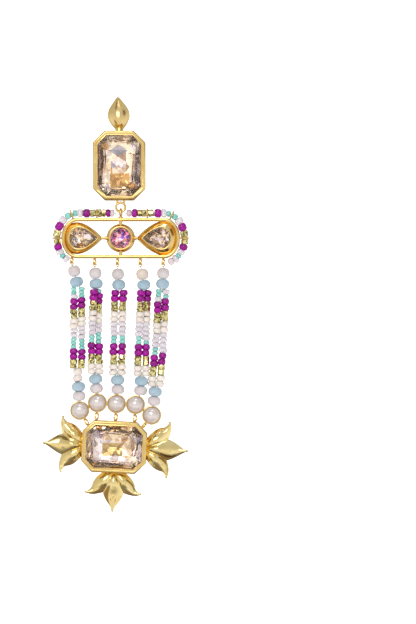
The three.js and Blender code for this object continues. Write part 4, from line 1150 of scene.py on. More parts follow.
# %% [markdown]
# The two large stones are octagons of pale champagne crystal. Their crown has three rows of facets round
# a broad table, and their pavilion eight rows that grow flatter towards the middle. The rows are turned
# against each other and tipped a little by chance, which breaks the reflections up as in a real stone.

# %% The octagon stones
CROWN_HEIGHT = 1.5
OCTAGON_WAYS = round_azimuths(8)
OCTAGON_CROWN = [(OCTAGON_WAYS, 41, 0.0), (round_azimuths(8, 22.5), 36, 0.55), (OCTAGON_WAYS, 27, 0.85)]
OCTAGON_PAVILION = [
    (OCTAGON_WAYS, 40, 0.0), (round_azimuths(16, 11.25), 35, 0.35), (round_azimuths(16), 30, 0.8),
    (round_azimuths(16, 11.25), 25, 1.5), (round_azimuths(16, 4), 20, 2.3), (round_azimuths(14, 15), 15, 3.3),
    (round_azimuths(12, 8), 11, 4.3), (round_azimuths(8, 30), 7, 5.4),
]
# A palette of painted reflections, with the stone's own champagne among them.
CHAMPAGNE_FACETS = [(WHITE, 6), (PEACH, 4), (CHAMPAGNE, 4), (LAVENDER, 4), (HONEY, 2), (UMBER, 2), (SLATE, 1)]
ROSY, OLIVE = (0.82, 0.7, 0.64), (0.5, 0.37, 0.17)
# Zones of painted reflection: left, right, bottom, top, colour, and whether it is a diamond.
UPPER_PAINTED_REFLECTIONS = [
    (-0.5, 0.5, 0.5, 0.8, PEACH, False), (-0.3, 0.3, -0.24, -0.06, ROSY, False),
    (-0.4, 0.44, -0.7, -0.24, HONEY, False), (-0.44, 0.36, 0.28, 0.66, SLATE, True),
]
LOWER_PAINTED_REFLECTIONS = [
    (-0.74, -0.4, -0.6, 0.5, LAVENDER, False), (-0.36, 0.4, 0.2, 0.62, CHAMPAGNE, True),
    (0.34, 0.74, -0.4, 0.5, CHAMPAGNE, True), (-0.4, 0.26, -0.38, 0.18, OLIVE, False),
    (-0.42, 0.5, -0.74, -0.34, LAVENDER, True),
]
LOWER_WIDTH, LOWER_HEIGHT, LOWER_CUT = 16.45, 12.75, 2.5
MEDALLION_TILT = 2.8
MEDALLION = Matrix.Translation((LOWER_CENTRE.x, MID_Y, LOWER_CENTRE.z)) @ rotation(MEDALLION_TILT, "Y")


def octagon_stone(width, height, cut, back, seed):
    """An octagon stone in a setting whose back is at that depth."""
    girdle_back = back - SETTING_DEPTH + LIP_HEIGHT + STONE_GAP + GIRDLE_HEIGHT
    girdle_front = girdle_back - GIRDLE_HEIGHT
    return cut_stone(
        octagon_face(width, height, cut), girdle_front - CROWN_HEIGHT, girdle_front, girdle_back, back - 0.72,
        OCTAGON_CROWN, OCTAGON_PAVILION, 2.2, seed,
    )


upper_stone = placed(
    octagon_stone(UPPER_WIDTH, UPPER_HEIGHT, UPPER_CUT, 0, 4), Matrix.Translation(UP * UPPER_CENTRE.z)
)
finish_stone(
    "upper_crystal", upper_stone, CHAMPAGNE_GLASS, "champagne_crystal", "upper_stone", CHAMPAGNE_FACETS,
    UPPER_PAINTED_REFLECTIONS, 11,
)
lower_stone = placed(octagon_stone(LOWER_WIDTH, LOWER_HEIGHT, LOWER_CUT, SETTING_DEPTH / 2, 9), MEDALLION)
finish_stone(
    "lower_crystal", lower_stone, CHAMPAGNE_GLASS, "champagne_crystal", "lower_stone", CHAMPAGNE_FACETS,
    LOWER_PAINTED_REFLECTIONS, 23,
)

# %% [markdown]
# The three stones of the frame are cut in the same way, with fewer and steeper rows. The pears are a
# greyer champagne and the round one is pink. They are small, so their foil has finer cells and no zones
# of its own.

# %% The pear and round stones
SMALL_CROWN = 0.7
SMALL_PAVILION_ROWS = [
    (round_azimuths(16, 11.25), 42, 0.0), (round_azimuths(16), 34, 0.3), (round_azimuths(16, 11.25), 26, 0.8),
    (round_azimuths(12), 18, 1.4), (round_azimuths(8, 20), 10, 2.0),
]
SMALL_CROWN_ROWS = [
    (round_azimuths(16, 11.25), 40, 0.0), (round_azimuths(8), 31, 0.3), (round_azimuths(8, 22.5), 22, 0.75)
]
# Palettes of painted reflections, with each stone's own colour among them.
SMOKY_FACETS = [(WHITE, 2), (CHAMPAGNE, 5), (PEACH, 3), (HONEY, 2), (LAVENDER, 2), (UMBER, 2), (SLATE, 1)]
PINK_FACETS = [(ROSE, 7), (CORAL, 4), (VIOLET, 3), (BLUE, 1), (WHITE, 3), (UMBER, 1)]


def small_stone(length, width, point_way, seed):
    front = COLLAR_BACK - COLLAR_DEPTH + LIP_HEIGHT
    return cut_stone(
        round_face(length, width, point_way), front - SMALL_CROWN, front, front + SMALL_GIRDLE,
        front + SMALL_GIRDLE + SMALL_PAVILION, SMALL_CROWN_ROWS, SMALL_PAVILION_ROWS, 2.5, seed,
    )


SMALL_STONES = [
    ("left_pear_crystal", "left_pear_stone", LEFT_PEAR, PEAR_LENGTH, 1, SMOKY_GLASS, SMOKY_FACETS, 5),
    ("right_pear_crystal", "right_pear_stone", RIGHT_PEAR, PEAR_LENGTH, -1, SMOKY_GLASS, SMOKY_FACETS, 8),
    ("round_crystal", "round_stone", FRAME_CENTRE, 2 * ROUND_RADIUS, 0, PINK_GLASS, PINK_FACETS, 3),
]
for name, node, centre, length, point_way, glass, facets, chance_seed in SMALL_STONES:
    width = PEAR_WIDTH if point_way else length
    slot = "smoky_crystal" if point_way else "pink_crystal"
    stone = small_stone(length, width, point_way, chance_seed)
    finish_stone(
        name, placed(stone, Matrix.Translation((centre.x, 0, FRAME_Z))), glass, slot, node, facets, [],
        chance_seed,
    )

# %% [markdown]
# The medallion is one soldered piece: a setting, three flowers of three pressed petals, and five cups for
# pearls with small stem rings under them. It hangs a little tilted, so it is built upright and then
# turned as a whole. A flower is one long petal between two wings, all opened from one root. The wings are
# the same leaf, mirrored.

# %% The medallion's flowers
PETAL_ROWS = [
    {"along": 0.0, "wide": 0.3, "high": 0.4},
    {"along": 0.12, "wide": 0.58, "high": 0.84},
    {"along": 0.28, "wide": 0.88, "high": 1.0},
    {"along": 0.44, "wide": 1.0, "high": 0.78},
    {"along": 0.6, "wide": 0.86, "high": 0.5, "lift": 0.03},
    {"along": 0.76, "wide": 0.54, "high": 0.34, "lift": 0.09},
    {"along": 0.9, "wide": 0.21, "high": 0.24, "lift": 0.2},
    {"along": 1.0, "wide": 0.04, "high": 0.12, "lift": 0.4},
]
WING_ROWS = [
    {"along": 0.0, "across": 0.04, "wide": 0.45, "high": 0.45},
    {"along": 0.2, "across": 0.18, "wide": 0.8, "high": 0.9},
    {"along": 0.48, "across": 0.36, "wide": 1.0, "high": 1.0},
    {"along": 0.74, "across": 0.54, "wide": 0.9, "high": 0.66, "lift": 0.03},
    {"along": 0.92, "across": 0.7, "wide": 0.52, "high": 0.4, "lift": 0.12},
    {"along": 1.0, "across": 0.86, "wide": 0.24, "high": 0.26, "lift": 0.3},
    {"along": 1.0, "across": 1.0, "wide": 0.04, "high": 0.1, "lift": 0.45},
]
PETAL_LENGTH, PETAL_HALF_WIDTH, PETAL_HEIGHT = 11.1, 3.15, 2.7
WING_ALONG, WING_ACROSS, WING_HALF_WIDTH, WING_HEIGHT = 5.9, 8.0, 2.3, 2.3
PETAL_BACK = 0.75
FLOWERS = [(-1, 0, 0.15, 180, 1.0), (1, 0, 0.0, -1, 1.06), (0, -1, 0.3, -90, 1.0)]


def flower(root_x, root_z, direction, reach):
    """Three petals that open from one root, in the medallion's own place."""
    turn = math.radians(direction)
    out = Vector((math.cos(turn), math.sin(turn)))

    def to_place(flip):
        def place(along, across, forward):
            far = along - 2 * SOLDER
            return Vector((
                root_x + out.x * far - out.y * across * flip, PETAL_BACK - forward,
                root_z + out.y * far + out.x * across * flip,
            ))
        return place

    return [
        leaf(PETAL_ROWS, PETAL_LENGTH * reach, PETAL_HALF_WIDTH, PETAL_HEIGHT, to_place(1), ridge=0.3),
        leaf(WING_ROWS, WING_ALONG * reach, WING_HALF_WIDTH, WING_HEIGHT, to_place(1), WING_ACROSS),
        leaf(WING_ROWS, WING_ALONG * reach, WING_HALF_WIDTH, WING_HEIGHT, to_place(-1), WING_ACROSS),
    ]


print("a flower is", PETAL_LENGTH, "mm long")

# %% [markdown]
# Each pearl sits in a thin gold bowl with a rounded wire round its lip, soldered to the next bowl. Both
# are half outlines spun round the pearl's own axis. Between cup and setting stands a small ring, seen
# almost edge-on.

# %% Pearl cups and stems
PEARL_RADIUS, CUP_WALL, CUP_LIP = 2.38, 0.2, 2.39
CUP_INNER = PEARL_RADIUS + STONE_GAP
CUP_OUTER = CUP_INNER + CUP_WALL
STEM_WIRE = 0.27
ARC_STEPS = 8
INTO_MEDALLION = MEDALLION.inverted()


def pearl_place(n):
    """The centre of a pearl in the medallion's own place. Its solid is cut only at the top, by the hole, so
    the centre is measured from below."""
    low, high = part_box(f"pearl_{n}")
    centre = Vector(((low.x + high.x) / 2, 0, low.z + PEARL_RADIUS * MM)) / MM
    centre.y = MID_Y
    return INTO_MEDALLION @ centre


def quarter_arc(radius):
    """Radius and depth from the pole at the back to the widest place."""
    turns = (math.pi / 2 * i / ARC_STEPS for i in range(ARC_STEPS + 1))
    return [(radius * math.sin(turn), radius * math.cos(turn)) for turn in turns]


def pearl_cup(centre):
    """A thin bowl behind the pearl, with a rounded wire of gold round its lip."""
    bowl = spun(quarter_arc(CUP_INNER) + quarter_arc(CUP_OUTER)[::-1], 40, closed=True)
    lip = spun([
        (CUP_LIP, 0.0), (CUP_LIP, -0.28), (CUP_LIP + 0.05, -0.34), (CUP_OUTER - 0.1, -0.34),
        (CUP_OUTER - 0.02, -0.28), (CUP_OUTER + 0.02, -0.16), (CUP_OUTER, 0.0),
    ], 48, closed=True)
    to_front = Matrix.Translation((centre.x, 0, centre.z)) @ rotation(-90, "X")
    return [placed(bowl, to_front), placed(lip, to_front)]


def stem(centre):
    """A small ring, seen almost edge-on, between a cup and the setting."""
    a, b = LOWER_WIDTH / 2 + SETTING_WALL, LOWER_HEIGHT / 2 + SETTING_WALL
    cut = LOWER_CUT + SETTING_WALL * CUT_GROWTH
    outer = abs(centre.x) > a - cut / 2
    foot = Vector((math.copysign(a - cut / 2, centre.x), b - cut / 2) if outer else (centre.x, b))
    head = Vector((centre.x, centre.z))
    way = (foot - head).normalized()
    edge = head + way * (CUP_OUTER - SOLDER)
    span = (foot - edge).length + SOLDER
    middle = edge + way * span / 2
    lean = math.degrees(math.atan2(-way.x, -way.y))
    return ring(span / 2 - STEM_WIRE, STEM_WIRE, Vector((middle.x, 0, middle.y)), EYELET_TURN, lean, 24, 8)


print("a cup is", 2 * CUP_OUTER, "mm across")

# %% [markdown]
# Now the medallion is put together: the setting, the cups, the stems and the solder between the cups are
# one piece of cast gold, and the petals are another, because they are pressed from sheet and have their
# own finish.

# %% The medallion's metal
pearl_places = [pearl_place(n) for n in STRANDS]
medallion_parts = [box_setting(LOWER_WIDTH, LOWER_HEIGHT, LOWER_CUT, SETTING_DEPTH / 2)]
for centre in pearl_places:
    medallion_parts += pearl_cup(centre)
medallion_parts += [stem(centre) for centre in pearl_places]
for left, right in zip(pearl_places, pearl_places[1:]):
    medallion_parts.append(bead_of_solder((left + right) / 2 + BACK * 0.7, 0.42, (0.8, 1.2, 1.2)))
finish_piece(
    "medallion_metal", placed(gather(medallion_parts), MEDALLION), "drop", [GOLD], "polished_gold",
    ["lower_setting"],
)
half_width, half_height = LOWER_WIDTH / 2 + SETTING_WALL, LOWER_HEIGHT / 2 + SETTING_WALL
petals = []
for side, base, shift, direction, reach in FLOWERS:
    root_x = side * half_width + (shift if side == 0 else 0)
    root_z = base * half_height + (0 if side == 0 else shift)
    petals += flower(root_x, root_z, direction, reach)
finish_piece("medallion_petals", placed(gather(petals), MEDALLION), "drop", [PETAL_GOLD], "polished_gold")

# %% [markdown]
# The pearls are glass pearls with a soft lustre: a pale body that grows warmer and darker towards its
# edge, partly the warm edge of the lustre and partly painted shade, under a clear coat. The big beads and
# rondelles are a milky stone with a satin skin, which takes in some light, so subsurface is used.

# %% Bead finishes
def pearl_look():
    lustre = new_look("pearl_lustre", {
        "Roughness": 0.3, "Specular IOR Level": 0.9,
        "Coat Weight": 1.0, "Coat Roughness": 0.1, "Coat IOR": 2.7,
        "Subsurface Weight": 0.1, "Subsurface Scale": 0.001,
    })
    # Painted shade: the body darkens from the middle towards its edge by how much it faces the viewer, and
    # warms there as the lustre does.
    facing = new_node(lustre, "ShaderNodeLayerWeight", Blend=0.35)
    skin = tint(lustre, facing.outputs["Facing"], [
        (0.05, (0.66, 0.57, 0.54)), (0.6, (0.6, 0.5, 0.47)), (0.92, (0.72, 0.56, 0.45)),
    ])
    join(lustre, skin, shader_of(lustre), "Base Color")
    bumps(lustre, [(noise(lustre, 700, 2), 0.1, 0.03)])
    return lustre


def milky_look(name, pale, deep):
    stone = new_look(name, {
        "Roughness": 0.5, "Subsurface Weight": 0.25, "Subsurface Scale": 0.0012, "Coat Weight": 0.1,
        "Coat Roughness": 0.35,
    })
    tone = tint(stone, noise(stone, 650, 4, 0.65), [(0.36, deep), (0.66, pale)])
    join(stone, tone, shader_of(stone), "Base Color")
    bumps(stone, [(noise(stone, 2600, 3), 0.25, 0.04)])
    return stone


PEARL = pearl_look()
MILKY = milky_look("milky_stone", (0.72, 0.66, 0.66), (0.61, 0.55, 0.56))
SANDY = milky_look("sandy_stone", (0.78, 0.68, 0.6), (0.68, 0.56, 0.48))
BLUE_STONE = milky_look("blue_stone", (0.44, 0.57, 0.65), (0.32, 0.47, 0.56))

print("bead finishes", PEARL.name, MILKY.name, SANDY.name, BLUE_STONE.name)

# %% [markdown]
# Beads are drilled, so each is half an outline spun round its hole. A strand has a big bead and a
# rondelle at its top, and the same below in the other order. They follow the strand's own lean, which is
# read from the places of the two solids. The pearls are drilled at the top only, where their thread ends.

# %% Pearls and big beads
BEAD_HOLE = 0.41
HOLE_BEVEL = 0.12
PEARL_HOLE = 1.2
TOP_BEAD = (1.76, 3.05)
TOP_RONDELLE = (1.9, 2.75)
LOW_RONDELLE = (1.92, 2.6)
LOW_BEAD = (1.86, 2.6)


def drilled_pearl():
    """A sphere with a drilled hole at its top."""
    low = math.asin(BEAD_HOLE / PEARL_RADIUS)
    turns = [low + (math.pi - low) * i / 22 for i in range(23)]
    skin = [(PEARL_RADIUS * math.sin(turn), PEARL_RADIUS * math.cos(turn)) for turn in turns]
    skin[-1] = (0.0, -PEARL_RADIUS)
    mouth = PEARL_RADIUS * math.cos(low)
    wall = BEAD_HOLE - 0.05
    return spun([(0.0, mouth - PEARL_HOLE), (wall, mouth - PEARL_HOLE), (wall, mouth - 0.1), *skin], 36)


def drilled_bead(radius, height, fullness):
    """A rounded bead. A fullness of 2 is an ellipse, and more is squarer."""
    turns = [math.radians(-66 + 132 * i / 12) for i in range(13)]
    skin = []
    for turn in turns:
        out = abs(math.cos(turn)) ** (2 / fullness)
        up = math.copysign(abs(math.sin(turn)) ** (2 / fullness), turn)
        skin.append((radius * out, height / 2 * up))
    top = skin[-1][1]
    flat = height / 2
    skin = [(r, h * flat / top) for r, h in skin]
    hole = [(BEAD_HOLE + HOLE_BEVEL, flat), (BEAD_HOLE, flat - HOLE_BEVEL), (BEAD_HOLE, HOLE_BEVEL - flat),
            (BEAD_HOLE + HOLE_BEVEL, -flat)]
    return spun(skin + hole, 32, closed=True)


def along(way):
    """Turns a bead whose hole runs up to one whose hole runs that way."""
    return UP.rotation_difference(way).to_matrix().to_4x4()


ways = {}
for n in STRANDS:
    top, rondelle = middle_of(f"top_bead_{n}"), middle_of(f"top_rondelle_{n}")
    low, low_rondelle = middle_of(f"low_bead_{n}"), middle_of(f"low_rondelle_{n}")
    ways[n] = (top - rondelle).normalized(), (low_rondelle - low).normalized()
    top_way, low_way = ways[n]
    for name, size, fullness, way, centre, look, slot, node in (
        ("top_stone", TOP_BEAD, 2.35, top_way, top, SANDY if n == 4 else MILKY, "milky_bead", "top_bead"),
        ("top_blue", TOP_RONDELLE, 2.4, top_way, rondelle, BLUE_STONE, "blue_bead", "top_rondelle"),
        ("low_blue", LOW_RONDELLE, 2.45, low_way, low_rondelle, BLUE_STONE, "blue_bead", "low_rondelle"),
        ("low_stone", LOW_BEAD, 2.45, low_way, low, MILKY, "milky_bead", "low_bead"),
    ):
        bead = placed(drilled_bead(*size, fullness), Matrix.Translation(centre) @ along(way))
        finish_piece(f"{name}_{n}", bead, "drop", [look], slot, [f"{node}_{n}"], crisp=60)
    pearl = placed(drilled_pearl(), MEDALLION @ Matrix.Translation(pearl_places[n - 1]))
    finish_piece(f"pearl_round_{n}", pearl, "drop", [PEARL], "pearl", [f"pearl_{n}"], crisp=60)

# %% [markdown]
# The seed beads give the earring its colour. They come in six glasses: opaque magenta, silver-lined gold,
# pearly cream, clear with a pink cast, pale pink, and silver-lined mint. Each glass runs from a pale to a
# deep tone, and every seed has its own place between them, since seeds of one batch are never quite
# alike.

# %% Seed finishes
SEED_SIDES_PAINTED_SHADE = (0.8, 0.68, 0.62)


def seed_look(name, pale, deep, roughness, extra):
    """One glass. Each bead's own share of pale and deep comes from its bead_tone attribute, and its sides
    are darkened and warmed with painted shade, which draws each bead's outline."""
    glass = new_look(name, {
        "Roughness": roughness, "Coat Weight": 0.6, "Coat Roughness": 0.04, "Coat IOR": 1.6, **extra,
    })
    own = new_node(glass, "ShaderNodeAttribute")
    own.attribute_name = "bead_tone"
    tone = tint(glass, own.outputs["Fac"], [(0.0, deep), (1.0, pale)])
    # Painted shade: the sides of a seed, where they turn from the viewer, are darkened and warmed.
    facing = new_node(glass, "ShaderNodeLayerWeight", Blend=0.3)
    edge = tint(glass, facing.outputs["Facing"], [(0.35, (1.0, 1.0, 1.0)), (0.9, SEED_SIDES_PAINTED_SHADE)])
    join(glass, multiplied(glass, tone, edge), shader_of(glass), "Base Color")
    bumps(glass, [(noise(glass, 2500, 2), 0.15, 0.03)])
    return glass


SATIN = {"Subsurface Weight": 0.2, "Subsurface Scale": 0.0006}
OPAQUE = {"Coat Weight": 0.25, "Coat IOR": 1.5, "Specular IOR Level": 0.3}
SEE_THROUGH, HALF_CLEAR = {"Transmission Weight": 0.3}, {"Transmission Weight": 0.25}
SEED_LOOKS = {
    "magenta": seed_look("magenta_seed", (0.38, 0.0, 0.31), (0.25, 0.0, 0.2), 0.12, OPAQUE),
    "gold": seed_look("gold_seed", (0.82, 0.69, 0.28), (0.31, 0.25, 0.08), 0.1, {"Metallic": 0.9}),
    "cream": seed_look("cream_seed", (0.87, 0.8, 0.73), (0.79, 0.71, 0.65), 0.14, SATIN),
    "clear": seed_look("clear_seed", (0.9, 0.85, 0.89), (0.83, 0.76, 0.82), 0.1, SEE_THROUGH),
    "pink": seed_look("pink_seed", (0.88, 0.75, 0.77), (0.8, 0.64, 0.68), 0.1, HALF_CLEAR),
    "mint": seed_look("mint_seed", (0.42, 0.86, 0.78), (0.24, 0.7, 0.63), 0.1, HALF_CLEAR),
}
gold_glass = SEED_LOOKS["gold"]
# Painted glints and shade: spots of bright and dark gold in the base colour stand for the glints and dark
# places of silver-lined seeds.
painted_sparkle = tint(gold_glass, noise(gold_glass, 1700, 1), [
    (0.4, (0.2, 0.17, 0.04)), (0.47, (0.66, 0.57, 0.2)), (0.6, (0.98, 0.88, 0.42)),
])
join(gold_glass, painted_sparkle, shader_of(gold_glass), "Base Color")
SEED_NAMES = list(SEED_LOOKS)
SEED_HEIGHTS = {"magenta": 1.75, "gold": 1.5, "cream": 1.65, "clear": 1.45, "pink": 1.6, "mint": 1.2}
SEED_RADII = {"magenta": 1.18, "gold": 1.05, "cream": 1.24, "clear": 1.14, "pink": 1.05, "mint": 0.88}
SEED_HOLE = 0.36
SEED_SLIP = 0.1
print("seed glasses", SEED_NAMES)

# %% [markdown]
# A seed is a short slice of glass tube whose ends were rounded in the fire, so it is a ring with a soft
# profile. The gold ones have flat, cut sides. Each is turned, tipped, sized and moved a little by seeded
# chance, so that they fall the same way each time.

# %% One seed and a string of them
SEED_SIDES, CUT_SEED_SIDES = 10, 8
SEED_TIP = 9


def seed(colour, radius, height):
    """A glass ring with rounded ends. Gold seeds are squarer, as cut ones are."""
    edge = 0.86 if colour == "gold" else 0.72
    belly = 0.37 if colour == "gold" else 0.26
    profile = [
        (SEED_HOLE, -0.44 * height), (edge * radius, -0.5 * height), (radius, -belly * height),
        (radius, belly * height), (edge * radius, 0.5 * height), (SEED_HOLE, 0.44 * height),
    ]
    bm = spun(profile, CUT_SEED_SIDES if colour == "gold" else SEED_SIDES, closed=True)
    for face in bm.faces:
        face.material_index = SEED_NAMES.index(colour)
    return bm


def seed_beads(name, places, node, randomness):
    """All the seeds of one string are one piece. Each of the places is a colour, a centre, a way, a height
    and how much wider the seed is than others."""
    chance = random.Random(randomness)
    seeds, tones = [], []
    for colour, centre, way, height, grown in places:
        wobble = (
            rotation(chance.uniform(-SEED_TIP, SEED_TIP), "X")
            @ rotation(chance.uniform(-SEED_TIP, SEED_TIP), "Y")
            @ Matrix.Rotation(chance.uniform(0, math.pi), 4, "Z")
        )
        bead = seed(colour, SEED_RADII[colour] * grown * chance.uniform(0.94, 1.04), height)
        tones.append((chance.uniform(0, 1), len(bead.verts)))
        slip = Vector((chance.uniform(-SEED_SLIP, SEED_SLIP), chance.uniform(-SEED_SLIP, SEED_SLIP), 0))
        seeds.append(placed(bead, Matrix.Translation(centre + slip) @ along(way) @ wobble))
    piece = finish_piece(name, gather(seeds), "drop", SEED_LOOKS.values(), "seed_glass", [node], crisp=70)
    for face in piece.data.polygons:
        face.use_smooth = face.material_index != SEED_NAMES.index("gold")
    store = piece.data.attributes.new("bead_tone", "FLOAT", "POINT")
    values = [tone for tone, count in tones for _ in range(count)]
    store.data.foreach_set("value", values[:len(piece.data.vertices)])


print("seeds have", SEED_SIDES, "sides, gold ones", CUT_SEED_SIDES)

# %% [markdown]
# The thread is a thin round nylon, swept along the route that the seeds follow. Seeds are strung by
# walking that route: their heights are stretched or pressed by one factor, so that a run of them fills
# its length exactly.

# %% The thread and the way along it
THREAD_RADIUS = 0.16
THREAD = new_look("thread_nylon", {"Base Color": (0.82, 0.76, 0.66, 1), "Roughness": 0.45})
vary(THREAD, noise(THREAD, 5000, 2), "Roughness", 0.35, 0.6)


def thread(name, routes):
    """Sweeps a thin round thread along each route and makes it all one piece."""
    curve = bpy.data.curves.new(name, "CURVE")
    curve.dimensions = "3D"
    curve.bevel_depth = THREAD_RADIUS
    curve.bevel_resolution = 2
    curve.use_fill_caps = True
    for points in routes:
        spline = curve.splines.new("POLY")
        spline.points.add(len(points) - 1)
        for point, place in zip(spline.points, points):
            point.co = (*place, 1)
    carrier = bpy.data.objects.new("carrier", curve)
    mesh = bpy.data.meshes.new_from_object(carrier)
    bm = bmesh.new()
    bm.from_mesh(mesh)
    bpy.data.objects.remove(carrier)
    bpy.data.curves.remove(curve)
    bpy.data.meshes.remove(mesh)
    finish_piece(name, bm, "drop", [THREAD], "seed_glass", crisp=60)


def walk(points, distance):
    """The place and the way at a distance along a route."""
    for a, b in zip(points, points[1:]):
        length = (b - a).length
        if distance <= length:
            return a.lerp(b, distance / max(length, 1e-9)), (b - a).normalized()
        distance -= length
    return points[-1].copy(), (points[-1] - points[-2]).normalized()


def strung(route, colours, room, grown):
    """The places of a run of seeds, made to fit their route less the room at its two ends."""
    length = sum((b - a).length for a, b in zip(route, route[1:]))
    fit = (length - sum(room)) / sum(SEED_HEIGHTS[colour] for colour in colours)
    reached = room[0]
    places = []
    for colour in colours:
        height = SEED_HEIGHTS[colour] * fit
        centre, way = walk(route, reached + height / 2)
        places.append((colour, centre, way, height, grown))
        reached += height
    return places


print("thread", 2 * THREAD_RADIUS, "mm thick in holes of", 2 * SEED_HOLE)

# %% [markdown]
# One string of seeds runs round the frame, through its six carriers. Between most carriers the colours go
# from gold and magenta at one to clear and mint at the other. Each run is walked from one carrier to the
# next and its seeds are made to fit, so that a string never ends in half a seed. At the top it leaves
# room for the swinging ring.

# %% The beads round the frame
EDGE_SEED = 1.03
EDGE_RUNS = [
    ((245, None), (180, None), ["clear", "mint", "clear", "magenta", "gold"]),
    ((180, None), (107, None), ["gold", "magenta", "clear", "mint"]),
    ((107, None), (90, -6.7), ["mint", "clear", "magenta", "gold"]),
    ((90, -6.7), (90, 0.0), ["gold", "gold", "magenta", "pink"]),
    ((90, 0.0), (90, 7.5), ["pink", "magenta", "gold", "gold"]),
    ((90, 7.5), (67, None), ["gold", "magenta", "clear", "mint"]),
    ((67, None), (0, None), ["mint", "clear", "magenta", "gold"]),
    ((0, None), (-79, None), ["gold", "magenta", "clear", "mint", "clear", "pink"]),
]
LOOP_ROOM = 1.75
# Between the two seeds at the top loop the thread sags, so that it passes under the ring.
THREAD_SAG = 0.26
CARRIER_ROOM = 0.28


def edge_route(start, end):
    """Close points of the string between two stops."""
    (from_angle, from_across), (to_angle, to_across) = start, end
    if from_across is not None and to_across is not None:
        return [edge_place(90, from_across + (to_across - from_across) * i / 40) for i in range(41)]
    points = []
    if from_across is not None:
        side = STRAIGHT
        points += [edge_place(90, from_across + (side - from_across) * i / 20) for i in range(20)]
        from_angle = 90
    arc_end = to_angle if to_across is None else 90
    if from_angle != arc_end:
        turns = [from_angle + (arc_end - from_angle) * i / 40 for i in range(41)]
        nudge = 0.01 if from_angle > 90 or arc_end > 90 else -0.01
        points += [edge_place(turn + nudge if abs(turn - 90) < 0.005 else turn) for turn in turns]
    if to_across is not None:
        points += [edge_place(90, -STRAIGHT + (to_across + STRAIGHT) * i / 20) for i in range(1, 21)]
    return points


edge_places, edge_routes = [], []
for start, end, colours in EDGE_RUNS:
    route = edge_route(start, end)
    room = [LOOP_ROOM if stop == (90, 0.0) else CARRIER_ROOM for stop in (start, end)]
    edge_places += strung(route, colours, room, EDGE_SEED)
    sagging = []
    for point in route:
        from_loop = (point - edge_place(90, 0)).length / LOOP_ROOM
        sagging.append(point + UP * -THREAD_SAG * max(1 - from_loop ** 4, 0))
    edge_routes.append(sagging)
seed_beads("edge_seeds", edge_places, "bead_edge", 2)
thread("edge_thread", edge_routes)

# %% [markdown]
# A strand is doubled: two strings of seeds hang side by side between a rondelle above and one below.
# Their threads leave one hole, run side by side about two millimetres apart and come together again, and
# where a strand is twisted one string hangs behind the other. The runs list each string's colours from
# top to bottom. A small gold link joins the strand's thread to its eyelet.

# %% The beads of the strands
STRING_PITCHES = {1: (2.2, 2.3), 2: (1.4, 2.3), 3: (2.35, 2.3), 4: (1.8, 2.25), 5: (2.1, 2.25)}
STRING_DEPTHS = {1: 0.0, 2: 1.7, 3: 0.0, 4: 1.2, 5: 0.5}
STRAND_BOW = {1: 0.05, 2: -0.15, 3: -0.05, 4: -0.15, 5: 0.2}
LEAD = [("mint", 2), ("clear", 1)]
UPPER_RUN = [("magenta", 2), ("gold", 2)]
LOWER_RUN = [("magenta", 2), ("gold", 2), ("cream", 2)]
SINGLE_ENDS = {1: [("cream", 2)]}
STRAND_RUNS = {
    1: (LEAD + UPPER_RUN + [("cream", 2), ("clear", 2), ("mint", 3)] + UPPER_RUN,
        LEAD[:1] + [("mint", 1)] + UPPER_RUN + [("cream", 2), ("clear", 3), ("mint", 3)] + UPPER_RUN),
    2: (UPPER_RUN + [("cream", 2), ("clear", 3), ("mint", 2)] + LOWER_RUN,
        [("mint", 1)] + UPPER_RUN + [("cream", 2), ("clear", 2), ("mint", 3)] + LOWER_RUN),
    3: (UPPER_RUN + [("cream", 2), ("clear", 3), ("mint", 2)] + LOWER_RUN,
        UPPER_RUN + [("cream", 2), ("clear", 3), ("mint", 2)] + LOWER_RUN),
    4: (UPPER_RUN + [("cream", 2), ("clear", 3), ("mint", 2)] + LOWER_RUN,
        UPPER_RUN + [("cream", 2), ("clear", 4), ("mint", 1)] + LOWER_RUN),
    5: (LEAD + UPPER_RUN + [("cream", 2), ("clear", 3), ("mint", 2)] + LOWER_RUN,
        [("clear", 1), ("mint", 1)] + UPPER_RUN + [("cream", 2), ("clear", 4)] + LOWER_RUN),
}
BEAD_GAP = 0.12
SINGLE_GROWTH, SINGLE_WIDTH = 1.15, 1.05
LINK_RADIUS, LINK_WIRE, LINK_GAP = 0.55, 0.15, 0.12
STRING_OVERLAP, HOLE_OVERLAP = 0.8, 0.2
THREAD_LOOP, INTO_PEARL = 0.4, 1.4
ROUTE_STEPS = 40


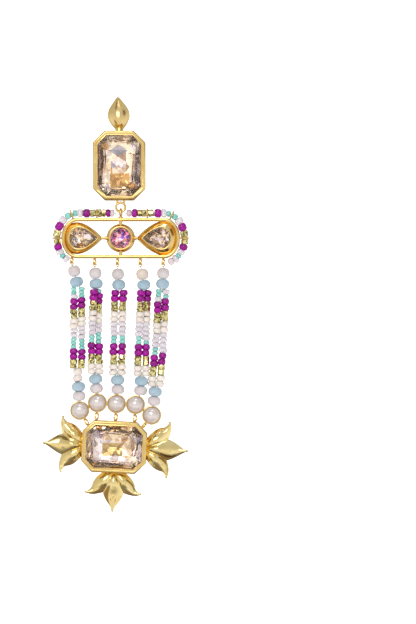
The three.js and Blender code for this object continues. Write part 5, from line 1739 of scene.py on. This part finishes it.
def string_route(n, side, split, join_point):
    """One string of the pair. It bows a little, and where a strand is twisted one string hangs behind."""
    points = []
    top_pitch, low_pitch = STRING_PITCHES[n]
    for i in range(ROUTE_STEPS + 1):
        share = i / ROUTE_STEPS
        point = split.lerp(join_point, share)
        pitch = top_pitch + (low_pitch - top_pitch) * share
        point.x += STRAND_BOW[n] * math.sin(share * math.pi) + side * pitch / 2
        point.y += side * STRING_DEPTHS[n] * (1 - share) / 2
        points.append(point)
    return points


for n in STRANDS:
    top_way, low_way = ways[n]
    split = middle_of(f"top_rondelle_{n}") - top_way * (TOP_RONDELLE[1] / 2 + BEAD_GAP)
    join_point = middle_of(f"low_rondelle_{n}") + low_way * (LOW_RONDELLE[1] / 2 + BEAD_GAP)
    places, routes = [], []
    for colour, count in SINGLE_ENDS.get(n, []):
        for i in range(count):
            rise = low_way * SEED_HEIGHTS[colour] * SINGLE_GROWTH
            places.append((colour, join_point + rise / 2, low_way, rise.length, SINGLE_WIDTH))
            join_point = join_point + rise
    for side, run in zip((-1, 1), STRAND_RUNS[n]):
        route = string_route(n, side, split, join_point)
        places += strung(route, [colour for colour, count in run for _ in range(count)], (0, 0), 1.0)
        routes.append([split + top_way * STRING_OVERLAP, *route[1:-1], join_point - low_way * STRING_OVERLAP])
    seed_beads(f"strand_seeds_{n}", places, f"strand_{n}", 30 + n)
    top, low = middle_of(f"top_bead_{n}"), middle_of(f"low_bead_{n}")
    eyelet = eyelet_centre(n)
    thread_start = eyelet - UP * (EYELET_RADIUS + EYELET_WIRE + THREAD_LOOP)
    routes.append([thread_start, top + top_way * TOP_BEAD[1] / 2, split - top_way * HOLE_OVERLAP])
    pearl_top = MEDALLION @ (pearl_places[n - 1] + UP * INTO_PEARL)
    routes.append([join_point + low_way * HOLE_OVERLAP, low - low_way * LOW_BEAD[1] / 2, pearl_top])
    thread(f"strand_thread_{n}", routes)
    link_centre = eyelet - UP * (EYELET_RADIUS - EYELET_WIRE - LINK_WIRE - LINK_GAP + LINK_RADIUS)
    link = ring(LINK_RADIUS, LINK_WIRE, link_centre, EYELET_TURN - 90, 0, 20, 8)
    finish_piece(f"strand_link_{n}", link, "drop", [GOLD], "polished_gold")
